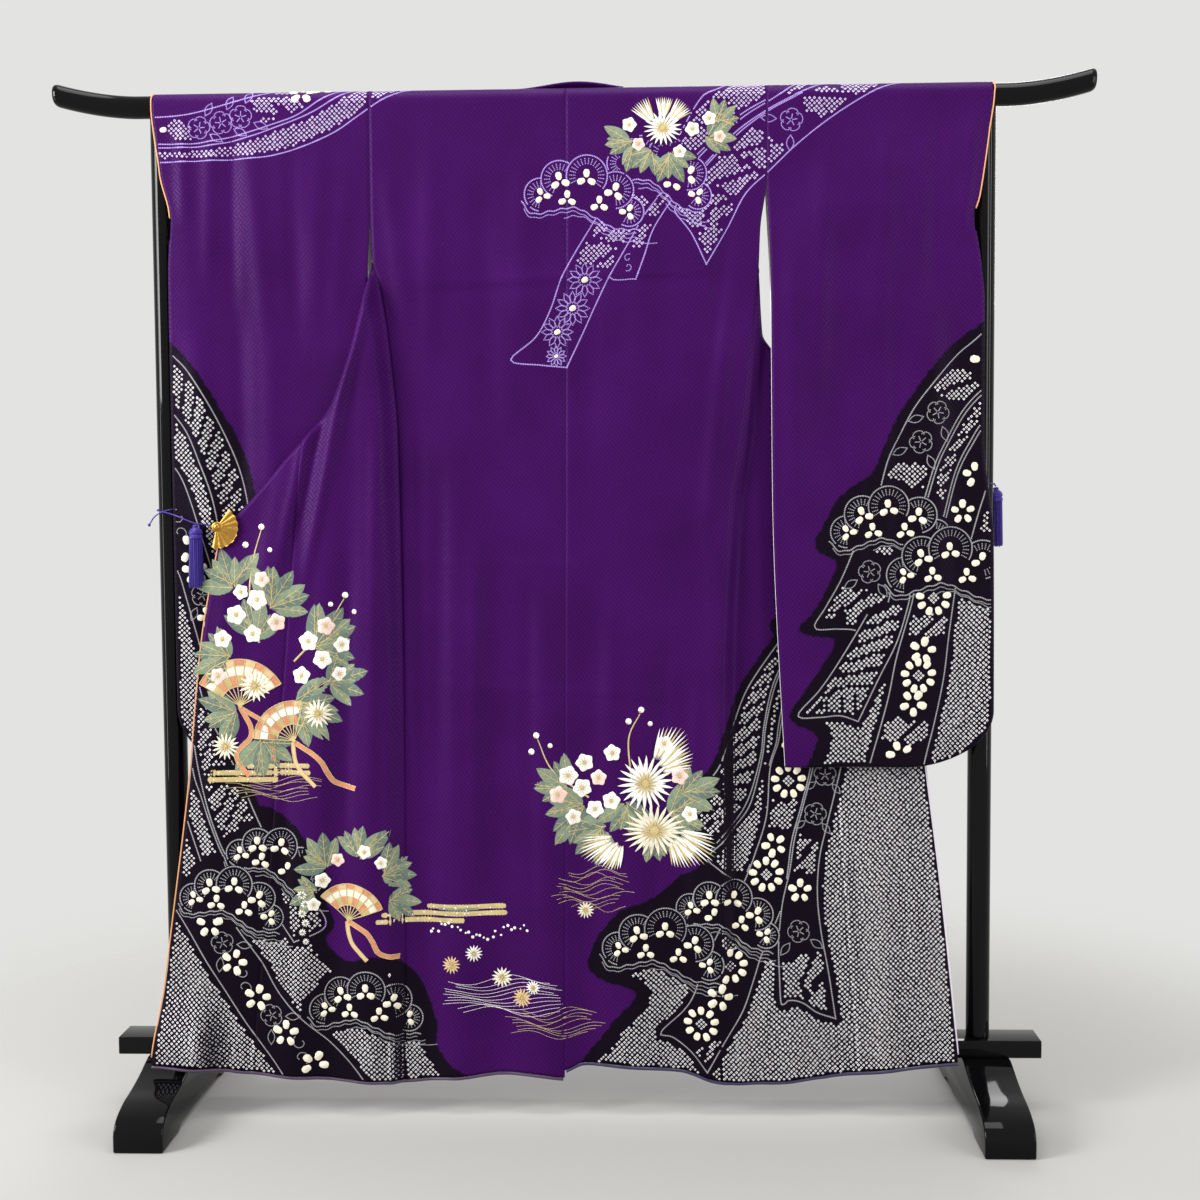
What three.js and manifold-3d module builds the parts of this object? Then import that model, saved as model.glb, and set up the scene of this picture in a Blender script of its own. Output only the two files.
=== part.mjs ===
// A furisode kimono shown from the back on a kimono stand.
// Millimetres. X runs along the bar, Y from the kimono's back (-Y) to its front (+Y), Z up from the floor.
import * as THREE from 'three';
import Module from 'manifold-3d';
import { mergeVertices } from 'three/addons/utils/BufferGeometryUtils.js';

// ---------------------------------------------------------------- driving dimensions

const cloth = { thickness: 1.6, seamGap: 0.3, foldRadius: 5, foldGap: 6 };
const bar = { halfLength: 816, z: 1604.5, halfDepth: 16, halfHeight: 17.5, riseFrom: 680, rise: 22, round: 9 };
const post = { x: 645, radius: 18.5, intoBar: 11 };
const board = { halfLength: 741, halfDepth: 29, bottom: 90, top: 118, edge: 1.5 };
const foot = { x: 653.4, width: 76, edge: 3, toe: 210, padLength: 84, relief: 9 };
const trim = { hemRoll: 2.2, piping: 1.1, cord: 1 };
const collar = { width: 57, thickness: 3, neckHalf: 85, standUp: 10, gap: 0.75 };
const sleeve = { wristBottom: 1390, bottom: 561, bagGap: 8, rim: 3.4, attachLeft: 1432, attachRight: 1457 };

// Where the cloth lies over the bar: its own oval, and the length from the ridge to the oval's side.
const over = { halfDepth: 20.6, halfHeight: bar.halfHeight + 0.5 + cloth.thickness / 2 };

// Heights on each side: top of the side seam, tip of the okumi where it turns over the fold, and the clip.
const heights = { left: { seamTop: 1354, okumiTip: 1080, clip: 937 }, right: { seamTop: 1335, okumiTip: 1120, clip: 930 } };

// Outlines seen from the back: x at each height.
const centreBack = [{ z: 1640, x: -5 }, { z: 1290, x: -7 }, { z: 50, x: -17 }];
const sideEdge = {
  left: [{ z: 1640, x: -312.5 }, { z: 1450, x: -312.5 }, { z: 1354, x: -310 }, { z: 1327, x: -301 }, { z: 1201, x: -283 },
    { z: 1077, x: -273 }, { z: 666, x: -268 }, { z: 50, x: -271 }],
  right: [{ z: 1640, x: 307 }, { z: 1480, x: 307 }, { z: 1400, x: 297 }, { z: 1335, x: 294 }, { z: 1201, x: 280 },
    { z: 1041, x: 259 }, { z: 979, x: 248 }, { z: 681, x: 234 }, { z: 50, x: 232 }],
};
const foldEdge = {
  left: [{ z: 1354, x: -310 }, { z: 1300, x: -321 }, { z: 1140, x: -370 }, { z: 1040, x: -452 }, { z: 953, x: -532 }, { z: 937, x: -549 }],
  right: [{ z: 1335, x: 294 }, { z: 1238, x: 300 }, { z: 1215, x: 314 }, { z: 1120, x: 380 }, { z: 1020, x: 450 }, { z: 930, x: 510 }],
};
const collarEdge = {
  left: [{ z: 1640, x: -85 }, { z: 1560, x: -86 }, { z: 1354, x: -122 }, { z: 1140, x: -228 }, { z: 1080, x: -322 }, { z: 1000, x: -442 }, { z: 937, x: -549 }],
  right: [{ z: 1640, x: 85 }, { z: 1560, x: 86 }, { z: 1335, x: 118 }, { z: 1140, x: 214 }, { z: 1020, x: 345 }, { z: 930, x: 510 }],
};
const okumiSeam = {
  left: [{ z: 1080, x: -420 }, { z: 937, x: -434 }, { z: 526, x: -471 }, { z: 50, x: -517 }],
  right: [{ z: 1120, x: 380 }, { z: 930, x: 386 }, { z: 559, x: 416 }, { z: 50, x: 450 }],
};
const frontEdge = {
  left: [{ z: 937, x: -549 }, { z: 763, x: -583 }, { z: 523, x: -609 }, { z: 297, x: -640 }, { z: 76, x: -671 }],
  right: [{ z: 930, x: 510 }, { z: 559, x: 556 }, { z: 343, x: 581 }, { z: 80, x: 606 }],
};
const hemLine = {
  left: [{ x: -680, z: 91 }, { x: -615, z: 87 }, { x: -527, z: 75 }, { x: -430, z: 66 }, { x: -333, z: 60 }, { x: -267, z: 57 },
    { x: -202, z: 62 }, { x: -101, z: 69 }, { x: -60, z: 68 }, { x: -17, z: 62 }],
  right: [{ x: -16, z: 74 }, { x: 15, z: 84 }, { x: 92, z: 81 }, { x: 168, z: 74 }, { x: 245, z: 56 }, { x: 302, z: 57 },
    { x: 379, z: 64 }, { x: 455, z: 73 }, { x: 531, z: 81 }, { x: 610, z: 89 }],
};
const wristEdge = {
  left: [{ z: 1640, near: -654, far: -654 }, { z: 1600, near: -654, far: -650 }, { z: 1550, near: -649, far: -631 },
    { z: 1515, near: -643, far: -620 }, { z: 1492, near: -640, far: -619.5 }, { z: 1423, near: -624, far: -620 }, { z: 1390, near: -626, far: -620 },
    { z: 1340, near: -628, far: -627 }, { z: 1227, near: -628, far: -628 }, { z: 500, near: -628, far: -628 }],
  right: [{ z: 1640, near: 656, far: 656 }, { z: 1600, near: 655, far: 650 }, { z: 1550, near: 648, far: 631 }, { z: 1515, near: 643, far: 620 },
    { z: 1438, near: 630, far: 620 }, { z: 1418, near: 624, far: 620 }, { z: 1340, near: 634, far: 632 },
    { z: 1285, near: 638, far: 638 }, { z: 1070, near: 639, far: 639 }, { z: 914, near: 655, far: 655 }, { z: 500, near: 658, far: 658 }],
};
const innerEdge = {
  left: [{ z: 1640, x: -312.5 }, { z: 1450, x: -312.5 }, { z: 1390, x: -314.5 }, { z: 1354, x: -316 }, { z: 1300, x: -317.5 }, { z: 1240, x: -329 },
    { z: 1190, x: -345 }, { z: 1140, x: -361 }, { z: 1030, x: -363 }, { z: 950, x: -352 }, { z: 500, x: -337 }],
  right: [{ z: 1640, x: 307 }, { z: 1480, x: 307 }, { z: 1400, x: 310 }, { z: 1335, x: 312 }, { z: 979, x: 315 }, { z: 500, x: 337 }],
};
const sleeveCorner = { left: { width: 120, height: 95 }, right: { width: 135, height: 86 } };

// How far in front of the bar's middle each layer hangs, at each height.
const backDepth = [{ z: 1640, y: 20.6 }, { z: 1440, y: 20.6 }, { z: 1350, y: 22 }, { z: 1000, y: 28 }, { z: 600, y: 37 }, { z: 50, y: 46 }];
const frontDepth = {
  left: [{ z: 1354, y: 46 }, { z: 937, y: 50 }, { z: 561, y: 53 }, { z: 50, y: 58 }],
  right: [{ z: 1335, y: 12 }, { z: 561, y: 14 }, { z: 400, y: 24 }, { z: 125, y: 42 }, { z: 50, y: 46 }],
};
const overFoot = { fromX: 550, toX: 610, fromZ: 220, toZ: 110, forward: 24 };
const crossing = { left: { from: 298, to: 318 }, right: { from: 282, to: 300 } };
const farDepth = [{ z: 1640, y: 20.6 }, { z: 1440, y: 20.6 }, { z: 1240, y: 12 }, { z: 900, y: 10 }];

// The largest folds: a ridge (+) or trough (-) that runs down from (topX, topZ) to hemX.
const backFolds = [
  { topX: -250, topZ: 1200, hemX: -232, width: 26, depth: -5 }, { topX: -190, topZ: 1150, hemX: -185, width: 34, depth: 7 },
  { topX: -105, topZ: 1000, hemX: -120, width: 30, depth: -5 }, { topX: -45, topZ: 900, hemX: -45, width: 32, depth: 8 },
  { topX: 30, topZ: 850, hemX: 22, width: 28, depth: -7 }, { topX: 95, topZ: 1100, hemX: 95, width: 36, depth: 4 },
  { topX: 190, topZ: 1200, hemX: 165, width: 34, depth: -5 }, { topX: 235, topZ: 1000, hemX: 215, width: 22, depth: 6 },
];
const frontFolds = {
  left: [
    { topX: -318, topZ: 1330, hemX: -330, width: 26, depth: 7 }, { topX: -332, topZ: 1300, hemX: -395, width: 24, depth: -4 },
    { topX: -350, topZ: 1250, hemX: -455, width: 30, depth: 8 }, { topX: -440, topZ: 1080, hemX: -545, width: 30, depth: 5 },
    { topX: -520, topZ: 930, hemX: -610, width: 34, depth: 6 },
  ],
  right: [
    { topX: 285, topZ: 1000, hemX: 262, width: 20, depth: 4 }, { topX: 300, topZ: 520, hemX: 335, width: 30, depth: 6 },
    { topX: 400, topZ: 520, hemX: 420, width: 30, depth: -4 }, { topX: 460, topZ: 520, hemX: 490, width: 34, depth: 6 },
  ],
};
const sleeveFolds = {
  left: [{ topX: -600, topZ: 1560, hemX: -590, width: 26, depth: 4 }, { topX: -545, topZ: 1560, hemX: -525, width: 24, depth: -3 },
    { topX: -470, topZ: 1580, hemX: -450, width: 34, depth: 3 }],
  right: [{ topX: 360, topZ: 1500, hemX: 370, width: 28, depth: 3 }, { topX: 430, topZ: 1500, hemX: 440, width: 34, depth: -3 },
    { topX: 520, topZ: 1450, hemX: 520, width: 40, depth: 4 }, { topX: 600, topZ: 1400, hemX: 600, width: 30, depth: -3 }],
};

const colours = { purple: 0x46105f, lining: 0xe9e6e2, piping: 0xeaa98a, cord: 0x3a1c9c, gold: 0xc99a34, lacquer: 0x0b0b0d };

// ---------------------------------------------------------------- small maths

const sides = { left: -1, right: 1 };
const quarter = (Math.PI / 2) * Math.sqrt((over.halfDepth ** 2 + over.halfHeight ** 2) / 2);
const mix = (a, b, t) => a + (b - a) * t;
const ease = (t) => { const c = Math.min(1, Math.max(0, t)); return c * c * (3 - 2 * c); };

// A smooth curve through a table: the column's value where the key is `at`, with no overshoot between rows.
function read(table, key, column, at) {
  const rows = [...table].sort((a, b) => a[key] - b[key]);
  const last = rows.length - 1;
  if (at <= rows[0][key]) return rows[0][column];
  if (at >= rows[last][key]) return rows[last][column];
  const slope = (i) => (rows[i + 1][column] - rows[i][column]) / (rows[i + 1][key] - rows[i][key]);
  const tangent = (i) => {
    if (i === 0) return slope(0);
    if (i === last) return slope(last - 1);
    const [a, b] = [slope(i - 1), slope(i)];
    return a * b <= 0 ? 0 : (2 * a * b) / (a + b);
  };
  let i = 0;
  while (rows[i + 1][key] < at) i += 1;
  const step = rows[i + 1][key] - rows[i][key];
  const t = (at - rows[i][key]) / step;
  const [t2, t3] = [t * t, t * t * t];
  return (2 * t3 - 3 * t2 + 1) * rows[i][column] + (t3 - 2 * t2 + t) * step * tangent(i)
    + (3 * t2 - 2 * t3) * rows[i + 1][column] + (t3 - t2) * step * tangent(i + 1);
}

// The sum of the folds at (x, z), each fading in over 160 mm below its top.
function foldDepth(folds, x, z) {
  return folds.reduce((sum, f) => {
    const down = (f.topZ - z) / (f.topZ - 60);
    if (down <= 0) return sum;
    const across = (x - mix(f.topX, f.hemX, down)) / f.width;
    return sum + f.depth * ease((f.topZ - z) / 160) * mix(0.55, 1, down) * Math.exp(-across * across);
  }, 0);
}

// ---------------------------------------------------------------- walls of cloth

// A mid-surface is a list of points and quads. Turning it into a wall moves the points out both ways along
// their normals and closes the free edges.
class Sheet {
  constructor() { this.points = []; this.quads = []; }

  point(x, y, z) { this.points.push(new THREE.Vector3(x, y, z)); return this.points.length - 1; }

  // rows is a table of point numbers; neighbours are joined, and quads with a repeated point become triangles.
  join(rows) {
    for (let j = 0; j + 1 < rows.length; j += 1) {
      for (let i = 0; i + 1 < rows[j].length; i += 1) {
        this.quads.push([rows[j][i], rows[j][i + 1], rows[j + 1][i + 1], rows[j + 1][i]]);
      }
    }
  }

  wall(thickness) {
    const triangles = this.quads.flatMap(([a, b, c, d]) => [[a, b, c], [a, c, d]])
      .filter(([a, b, c]) => a !== b && b !== c && a !== c);
    const normals = this.points.map(() => new THREE.Vector3());
    const [e, f] = [new THREE.Vector3(), new THREE.Vector3()];
    for (const t of triangles) {
      const [p, q, r] = t.map((i) => this.points[i]);
      const n = new THREE.Vector3().crossVectors(e.subVectors(q, p), f.subVectors(r, p)).normalize();
      t.forEach((i, k) => {
        const [o, u, v] = [this.points[i], this.points[t[(k + 1) % 3]], this.points[t[(k + 2) % 3]]];
        normals[i].addScaledVector(n, e.subVectors(u, o).angleTo(f.subVectors(v, o)));
      });
    }
    const count = this.points.length;
    const spots = new Float32Array(count * 6);
    this.points.forEach((p, i) => {
      const n = normals[i].normalize();
      for (const [k, way] of [[0, 1], [1, -1]]) {
        const q = p.clone().addScaledVector(n, (way * thickness) / 2);
        spots.set([q.x, q.y, q.z], (i + k * count) * 3);
      }
    });
    const index = [];
    const open = new Map();
    for (const [a, b, c] of triangles) {
      index.push(a, b, c, a + count, c + count, b + count);
      for (const [u, v] of [[a, b], [b, c], [c, a]]) {
        if (!open.delete(`${v},${u}`)) open.set(`${u},${v}`, [u, v]);
      }
    }
    for (const [u, v] of open.values()) index.push(u, u + count, v + count, u, v + count, v);
    const geometry = new THREE.BufferGeometry();
    geometry.setAttribute('position', new THREE.BufferAttribute(spots, 3));
    geometry.setIndex(index);
    return geometry;
  }
}

// ---------------------------------------------------------------- where the cloth hangs

// Heights of the rows of a body panel: over the bar (turn from 0 at the ridge to 1), then down to the hem.
const turns = [0, 0.3, 0.65, 1];
const between = (from, to, count) => Array.from({ length: count }, (_, i) => mix(from, to, (i + 1) / count));
function bodyRows(name) {
  const { seamTop, okumiTip, clip } = heights[name];
  return {
    upper: [...between(bar.z, seamTop, 4)],
    toTip: between(seamTop, okumiTip, 5),
    toClip: between(okumiTip, clip, 4),
    lower: between(0, 1, 8),
  };
}

// A point over the bar: turn is 0 at the ridge and 1 where the cloth starts to hang, way is -1 for the back.
function overBar(x, turn, way, lift = 0) {
  const angle = (turn * Math.PI) / 2;
  return [x, way * (over.halfDepth + lift) * Math.sin(angle), bar.z + (over.halfHeight + lift) * Math.cos(angle)];
}

const backY = (x, z) => -(read(backDepth, 'z', 'y', z) + foldDepth(backFolds, x, z));

// The front where it is turned outwards, seen from the back: it leaves the side seam and comes to its own depth.
function turnedY(name, x, z) {
  const seam = read(sideEdge[name], 'z', 'x', z);
  const out = Math.abs(x) - Math.abs(seam);
  const forward = name === 'left'
    ? overFoot.forward * ease((Math.abs(x) - overFoot.fromX) / (overFoot.toX - overFoot.fromX)) * ease((overFoot.fromZ - z) / (overFoot.fromZ - overFoot.toZ))
    : 0;
  const own = -(read(frontDepth[name], 'z', 'y', z) + foldDepth(frontFolds[name], x, z) + forward);
  return mix(backY(seam, z), own, ease(out / 25));
}

// The front where it still hangs on the far side: it passes beside the body's edge and then runs behind the back.
function farY(name, x, z) {
  const { from, to } = crossing[name];
  const { seamTop } = heights[name];
  const beside = ease((Math.abs(x) - from) / (to - from)) * ease((1440 - z) / (1440 - seamTop));
  return mix(read(farDepth, 'z', 'y', z), turnedY(name, x, z) + cloth.foldGap, beside);
}

// Column places across a row from one edge to the other, with one column close to a fold at the far end.
function across(from, to, columns, nearFold) {
  const length = Math.abs(to - from);
  const places = columns.map((u) => mix(from, to, u));
  if (nearFold && length > 0) {
    places[places.length - 2] = mix(to, from, Math.min(0.4, cloth.foldRadius / length));
  }
  return places;
}
const evenly = (count) => Array.from({ length: count + 1 }, (_, i) => i / count);

// The same from the fold to the collar edge, with two columns where the cloth passes beside the body's edge.
function farPlaces(name, collarX, foldX, count) {
  const way = sides[name];
  const { from, to } = crossing[name];
  const [fold, end] = [Math.abs(foldX), Math.abs(collarX)];
  if (end > from) return across(collarX, foldX, evenly(count), true).reverse();
  const outer = Math.min(to + 1, fold - 8);
  const inner = Math.min(from - 1, outer - 8);
  const rest = evenly(count - 3).slice(1).map((u) => mix(inner, end, u));
  return [fold, Math.max(fold - cloth.foldRadius, mix(fold, outer, 0.5)), outer, inner, ...rest].map((x) => way * x);
}

// ---------------------------------------------------------------- body panels

// A place on the front's free edge, by its share of the way down from the clip to the hem.
function frontSpot(name, down) {
  const { clip } = heights[name];
  const x = read(frontEdge[name], 'z', 'x', mix(clip, 80, down));
  return [x, mix(clip, read(hemLine[name], 'x', 'z', x), down)];
}

// One length of cloth from the back hem over the shoulder to the front hem.
function bodyPanel(name) {
  const way = sides[name];
  const rows = bodyRows(name);
  const { seamTop, okumiTip, clip } = heights[name];
  const sheet = new Sheet();
  const half = cloth.seamGap / 2;
  const centreX = (z) => read(centreBack, 'z', 'x', z) + way * half;
  const sideX = (z) => read(sideEdge[name], 'z', 'x', z) - way * half;
  const neckColumns = 3;
  const shoulderColumns = 6;

  // Back: centre seam to side edge. At the ridge the columns past the neck are shared with the front.
  const columnsAt = (z) => {
    const [c, s] = [centreX(z), sideX(z)];
    const free = evenly(neckColumns + shoulderColumns).map((u) => mix(c, s, u));
    const neck = way * collar.neckHalf;
    const fitted = [...evenly(neckColumns).map((u) => mix(c, neck, u)), ...between(neck, s, shoulderColumns)];
    const settle = ease((bar.z - z) / 500);
    return free.map((x, i) => mix(fitted[i], x, settle));
  };
  const back = turns.map((t) => columnsAt(1640).map((x) => sheet.point(...overBar(x, t, -1))));
  for (const z of [...rows.upper, ...rows.toTip, ...rows.toClip]) {
    back.push(columnsAt(z).map((x) => sheet.point(x, backY(x, z), z)));
  }
  for (const down of rows.lower) {
    back.push(columnsAt(mix(clip, 62, down)).map((x) => {
      const z = mix(clip, read(hemLine[name], 'x', 'z', x), down);
      return sheet.point(x, backY(x, z), z);
    }));
  }

  // Front, still hanging on the far side: armhole edge or fold, to the collar edge.
  const far = [back[0].slice(neckColumns).reverse()];
  const farColumns = evenly(shoulderColumns);
  const collarX = (z) => read(collarEdge[name], 'z', 'x', z) + way * half;
  for (const t of turns.slice(1)) {
    far.push(farColumns.map((u) => sheet.point(...overBar(mix(sideX(1640), collarX(1640), u), t, 1))));
  }
  for (const z of rows.upper) {
    far.push(farColumns.map((u) => {
      const x = mix(sideX(z), collarX(z), u);
      return sheet.point(x, farY(name, x, z), z);
    }));
  }

  // Front, turned outwards: it starts as a point at the top of the side seam and widens along the fold.
  const seamX = (z) => read(sideEdge[name], 'z', 'x', z) + way * half;
  const foldX = (z) => read(foldEdge[name], 'z', 'x', z);
  const nearColumns = evenly(6);
  const tip = far[far.length - 1][0];
  sheet.points[tip].set(seamX(seamTop) + way * 0.6, backY(seamX(seamTop), seamTop) + 0.4, seamTop);
  const near = [nearColumns.map(() => tip)];
  for (const z of rows.toTip) {
    const nearX = across(seamX(z), foldX(z), nearColumns, true);
    const row = nearX.map((x, i) => sheet.point(x, turnedY(name, x, z) + (i === nearX.length - 1 ? cloth.foldGap / 2 : 0), z));
    near.push(row);
    const farX = farPlaces(name, collarX(z), foldX(z), shoulderColumns);
    far.push(farX.map((x, i) => (i === 0 ? row[row.length - 1] : sheet.point(x, farY(name, x, z), z))));
  }
  const okumiX = (z) => read(okumiSeam[name], 'z', 'x', z) - way * half;
  for (const z of rows.toClip) {
    near.push(across(seamX(z), okumiX(z), nearColumns).map((x) => sheet.point(x, turnedY(name, x, z), z)));
  }
  for (const down of rows.lower) {
    const guide = mix(clip, 62, down);
    near.push(across(seamX(guide), okumiX(guide), nearColumns).map((x) => {
      const z = mix(clip, read(hemLine[name], 'x', 'z', x), down);
      return sheet.point(x, turnedY(name, x, z), z);
    }));
  }

  // The same way round for all three stretches: the outer face of the cloth looks away from the bar.
  for (const part of [back, far, near]) sheet.join(way < 0 ? part : part.map((row) => [...row].reverse()));
  return sheet.wall(cloth.thickness);
}

// The overlap strip sewn to the front: from the hem up to a point at the fold, and over the fold to the collar.
function okumi(name) {
  const way = sides[name];
  const rows = bodyRows(name);
  const { okumiTip, clip } = heights[name];
  const sheet = new Sheet();
  const half = cloth.seamGap / 2;
  const foldX = (z) => read(foldEdge[name], 'z', 'x', z);
  const collarX = (z) => read(collarEdge[name], 'z', 'x', z) + way * half;
  const seamX = (z) => read(okumiSeam[name], 'z', 'x', z) + way * half;
  const top = okumiTip - 2.4;
  const columns = evenly(4);
  const tip = sheet.point(foldX(top), turnedY(name, foldX(top), top) + cloth.foldGap / 2, top);
  const near = [columns.map(() => tip)];
  const far = [across(collarX(top), foldX(top), columns, true).reverse()
    .map((x, i) => (i === 0 ? tip : sheet.point(x, farY(name, x, top), top)))];
  rows.toClip.forEach((z, k) => {
    const end = k === rows.toClip.length - 1;
    const nearX = across(seamX(z), foldX(z), columns, true);
    const row = nearX.map((x, i) => sheet.point(x, turnedY(name, x, z) + (i === nearX.length - 1 ? cloth.foldGap / 2 : 0), z));
    near.push(row);
    far.push(across(collarX(z), foldX(z), columns, true).reverse()
      .map((x, i) => (i === 0 || end ? row[row.length - 1] : sheet.point(x, farY(name, x, z), z))));
  });
  for (const down of rows.lower) {
    const [edgeX] = frontSpot(name, down);
    near.push(across(seamX(mix(clip, 62, down)), edgeX, columns).map((x) => {
      const z = mix(clip, read(hemLine[name], 'x', 'z', x), down);
      return sheet.point(x, turnedY(name, x, z), z);
    }));
  }
  for (const part of [far, near]) sheet.join(way < 0 ? part : part.map((row) => [...row].reverse()));
  return sheet.wall(cloth.thickness);
}

// ---------------------------------------------------------------- sleeves

const sleeveLevels = [1604.5, 1560, 1510, 1457, 1423, 1390, 1340, 1285, 1200, 1070, 930, 790, 700, 650, 620, 598, 580, 568, 561];
const sleeveColumns = [0, 0.08, 0.2, 0.35, 0.5, 0.65, 0.8, 0.92, 1];

// The outer edge below the wrist, rounded at the bottom corner.
function outerX(name, layer, z) {
  const edge = read(wristEdge[name], 'z', layer, z);
  const { width, height } = sleeveCorner[name];
  const below = (sleeve.bottom + height - z) / height;
  if (below <= 0) return edge;
  return edge - sides[name] * width * (1 - Math.sqrt(Math.max(0, 1 - Math.min(1, below) ** 2)));
}

// Both layers hang from the bar; below the wrist they come together in front of the post.
function sleeveY(name, layer, u, x, z) {
  const attach = sleeve[name === 'left' ? 'attachLeft' : 'attachRight'];
  const fold = foldDepth(sleeveFolds[name], x, z);
  if (layer === 'near') {
    const from = mix(attach, 1600, ease(u / 0.4));
    return -(over.halfDepth + 13.4 * ease((from - z) / 200) + fold * ease((from - z) / 150));
  }
  const from = mix(attach, 1535, ease(u / 0.6));
  const to = mix(1230, 1405, ease(u / 0.6));
  const gathered = ease((from - z) / (from - to));
  return mix(over.halfDepth, -(over.halfDepth + 13.4 - sleeve.bagGap), gathered) - fold * gathered;
}

function sleevePanel(name) {
  const way = sides[name];
  const sheet = new Sheet();
  const innerX = (z) => read(innerEdge[name], 'z', 'x', z) + (way * cloth.seamGap) / 2;
  const ridge = sleeveColumns.map((u) => sheet.point(...overBar(mix(innerX(1640), outerX(name, 'near', 1640), u), 0, -1)));
  const layers = ['near', 'far'].map((layer) => {
    const side = layer === 'near' ? -1 : 1;
    const rows = [ridge];
    for (const t of turns.slice(1, -1)) {
      rows.push(sleeveColumns.map((u) => sheet.point(...overBar(mix(innerX(1640), outerX(name, layer, 1625 - 10 * t), u), t, side))));
    }
    for (const z of sleeveLevels) {
      rows.push(sleeveColumns.map((u) => {
        const x = mix(innerX(z), outerX(name, layer, z), u);
        return sheet.point(x, sleeveY(name, layer, u, x, z), z);
      }));
    }
    return rows;
  });
  const [near, far] = layers;
  const flip = (rows) => rows.map((row) => [...row].reverse());
  sheet.join(way < 0 ? near : flip(near));
  sheet.join(way < 0 ? flip(far) : far);

  // The closed edge of the bag: down from the wrist, round the corner and along the bottom.
  const last = near.length - 1;
  const wrist = near.length - sleeveLevels.length + sleeveLevels.indexOf(sleeve.wristBottom);
  const path = [];
  for (let j = wrist; j <= last; j += 1) path.push([near[j][sleeveColumns.length - 1], far[j][sleeveColumns.length - 1]]);
  for (let i = sleeveColumns.length - 2; i >= 0; i -= 1) path.push([near[last][i], far[last][i]]);
  const middles = path.map(([a, b]) => sheet.points[a].clone().add(sheet.points[b]).multiplyScalar(0.5));
  const rim = path.map(([a, b], k) => {
    const run = middles[Math.min(k + 1, middles.length - 1)].clone().sub(middles[Math.max(k - 1, 0)]);
    const out = new THREE.Vector3(-way * run.z, 0, way * run.x).normalize();
    const m = middles[k].clone().addScaledVector(out, sleeve.rim);
    return [a, sheet.point(m.x, m.y, m.z), b];
  });
  sheet.join(way < 0 ? rim : flip(rim));
  return sheet.wall(cloth.thickness);
}

// ---------------------------------------------------------------- collar

// One band from clip to clip: sewn along both fronts and across the back of the neck, its free edge inwards.
function collarBand() {
  const sheet = new Sheet();
  const lift = (collar.thickness - cloth.thickness) / 2 + 0.4;
  const rows = [];
  // A place on the far side, by its x and its length below the ridge.
  const place = (name, x, below) => {
    const rise = collar.standUp * Math.cos(Math.min(1, Math.abs(x - 12) / 95) * (Math.PI / 2)) ** 2;
    if (below < quarter) {
      const [px, y, z] = overBar(x, below / quarter, 1, lift);
      return [px, y, z + rise * (1 - below / quarter)];
    }
    const z = bar.z - (below - quarter);
    return [x, farY(name, x, z) + lift, z];
  };
  const below = (z) => quarter + bar.z - z;
  const widths = [0, 0.09, 0.18, 0.28, 0.4, 0.56, 0.78, 1];
  const row = (name, edge, out, width = collar.width) => rows.push(widths.map((w) => {
    const reach = collar.gap + w * width;
    return sheet.point(...place(name, edge[0] + out[0] * reach, edge[1] + out[1] * reach));
  }));
  const frontRows = (name) => {
    const way = sides[name];
    const { upper, toTip, toClip } = bodyRows(name);
    const levels = [bar.z, ...upper, ...toTip, ...toClip.slice(0, -1), heights[name].clip + 12];
    return levels.filter((z) => z < 1575).map((z) => {
      const at = (h) => [read(collarEdge[name], 'z', 'x', h) - (way * cloth.seamGap) / 2, below(h)];
      const [a, b] = [at(z + 6), at(z - 6)];
      const run = [b[0] - a[0], b[1] - a[1]];
      const length = Math.hypot(...run);
      return [name, at(z), [(-way * run[1]) / length, (way * run[0]) / length]];
    });
  };
  const neck = collar.neckHalf - cloth.seamGap / 2;
  frontRows('left').reverse().forEach((r) => row(...r));
  // Round the neck the band turns from lying inwards along the fronts to hanging down behind the bar.
  const turn = [{ x: 57, below: 0, toX: 30.4, toBelow: 64 }, { x: neck, below: 2, toX: 30.4, toBelow: 70 },
    { x: neck, below: 16, toX: 30.4, toBelow: 76 }, { x: neck, below: 30, toX: 30.2, toBelow: 83 }];
  const corner = (name) => turn.map((t) => {
    const run = [sides[name] * (t.toX - t.x), t.toBelow - t.below];
    const length = Math.hypot(...run);
    return [name, [sides[name] * t.x, t.below], [run[0] / length, run[1] / length], length];
  });
  corner('left').reverse().forEach((r) => row(...r));
  for (const x of [-30, -10, 10, 30]) row(x < 0 ? 'left' : 'right', [x, 0], [0, 1]);
  corner('right').forEach((r) => row(...r));
  frontRows('right').forEach((r) => row(...r));
  sheet.join(rows);
  return sheet.wall(collar.thickness);
}

// ---------------------------------------------------------------- trim

// A tube along a smooth path.
function tube(points, radius, sidesCount, steps) {
  const shape = new THREE.Shape(Array.from({ length: sidesCount }, (_, i) => {
    const angle = (i / sidesCount) * Math.PI * 2;
    return new THREE.Vector2(radius * Math.cos(angle), radius * Math.sin(angle));
  }));
  const path = new THREE.CatmullRomCurve3(points.map((p) => new THREE.Vector3(...p)), false, 'centripetal');
  return new THREE.ExtrudeGeometry(shape, { extrudePath: path, steps, bevelEnabled: false });
}

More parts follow.
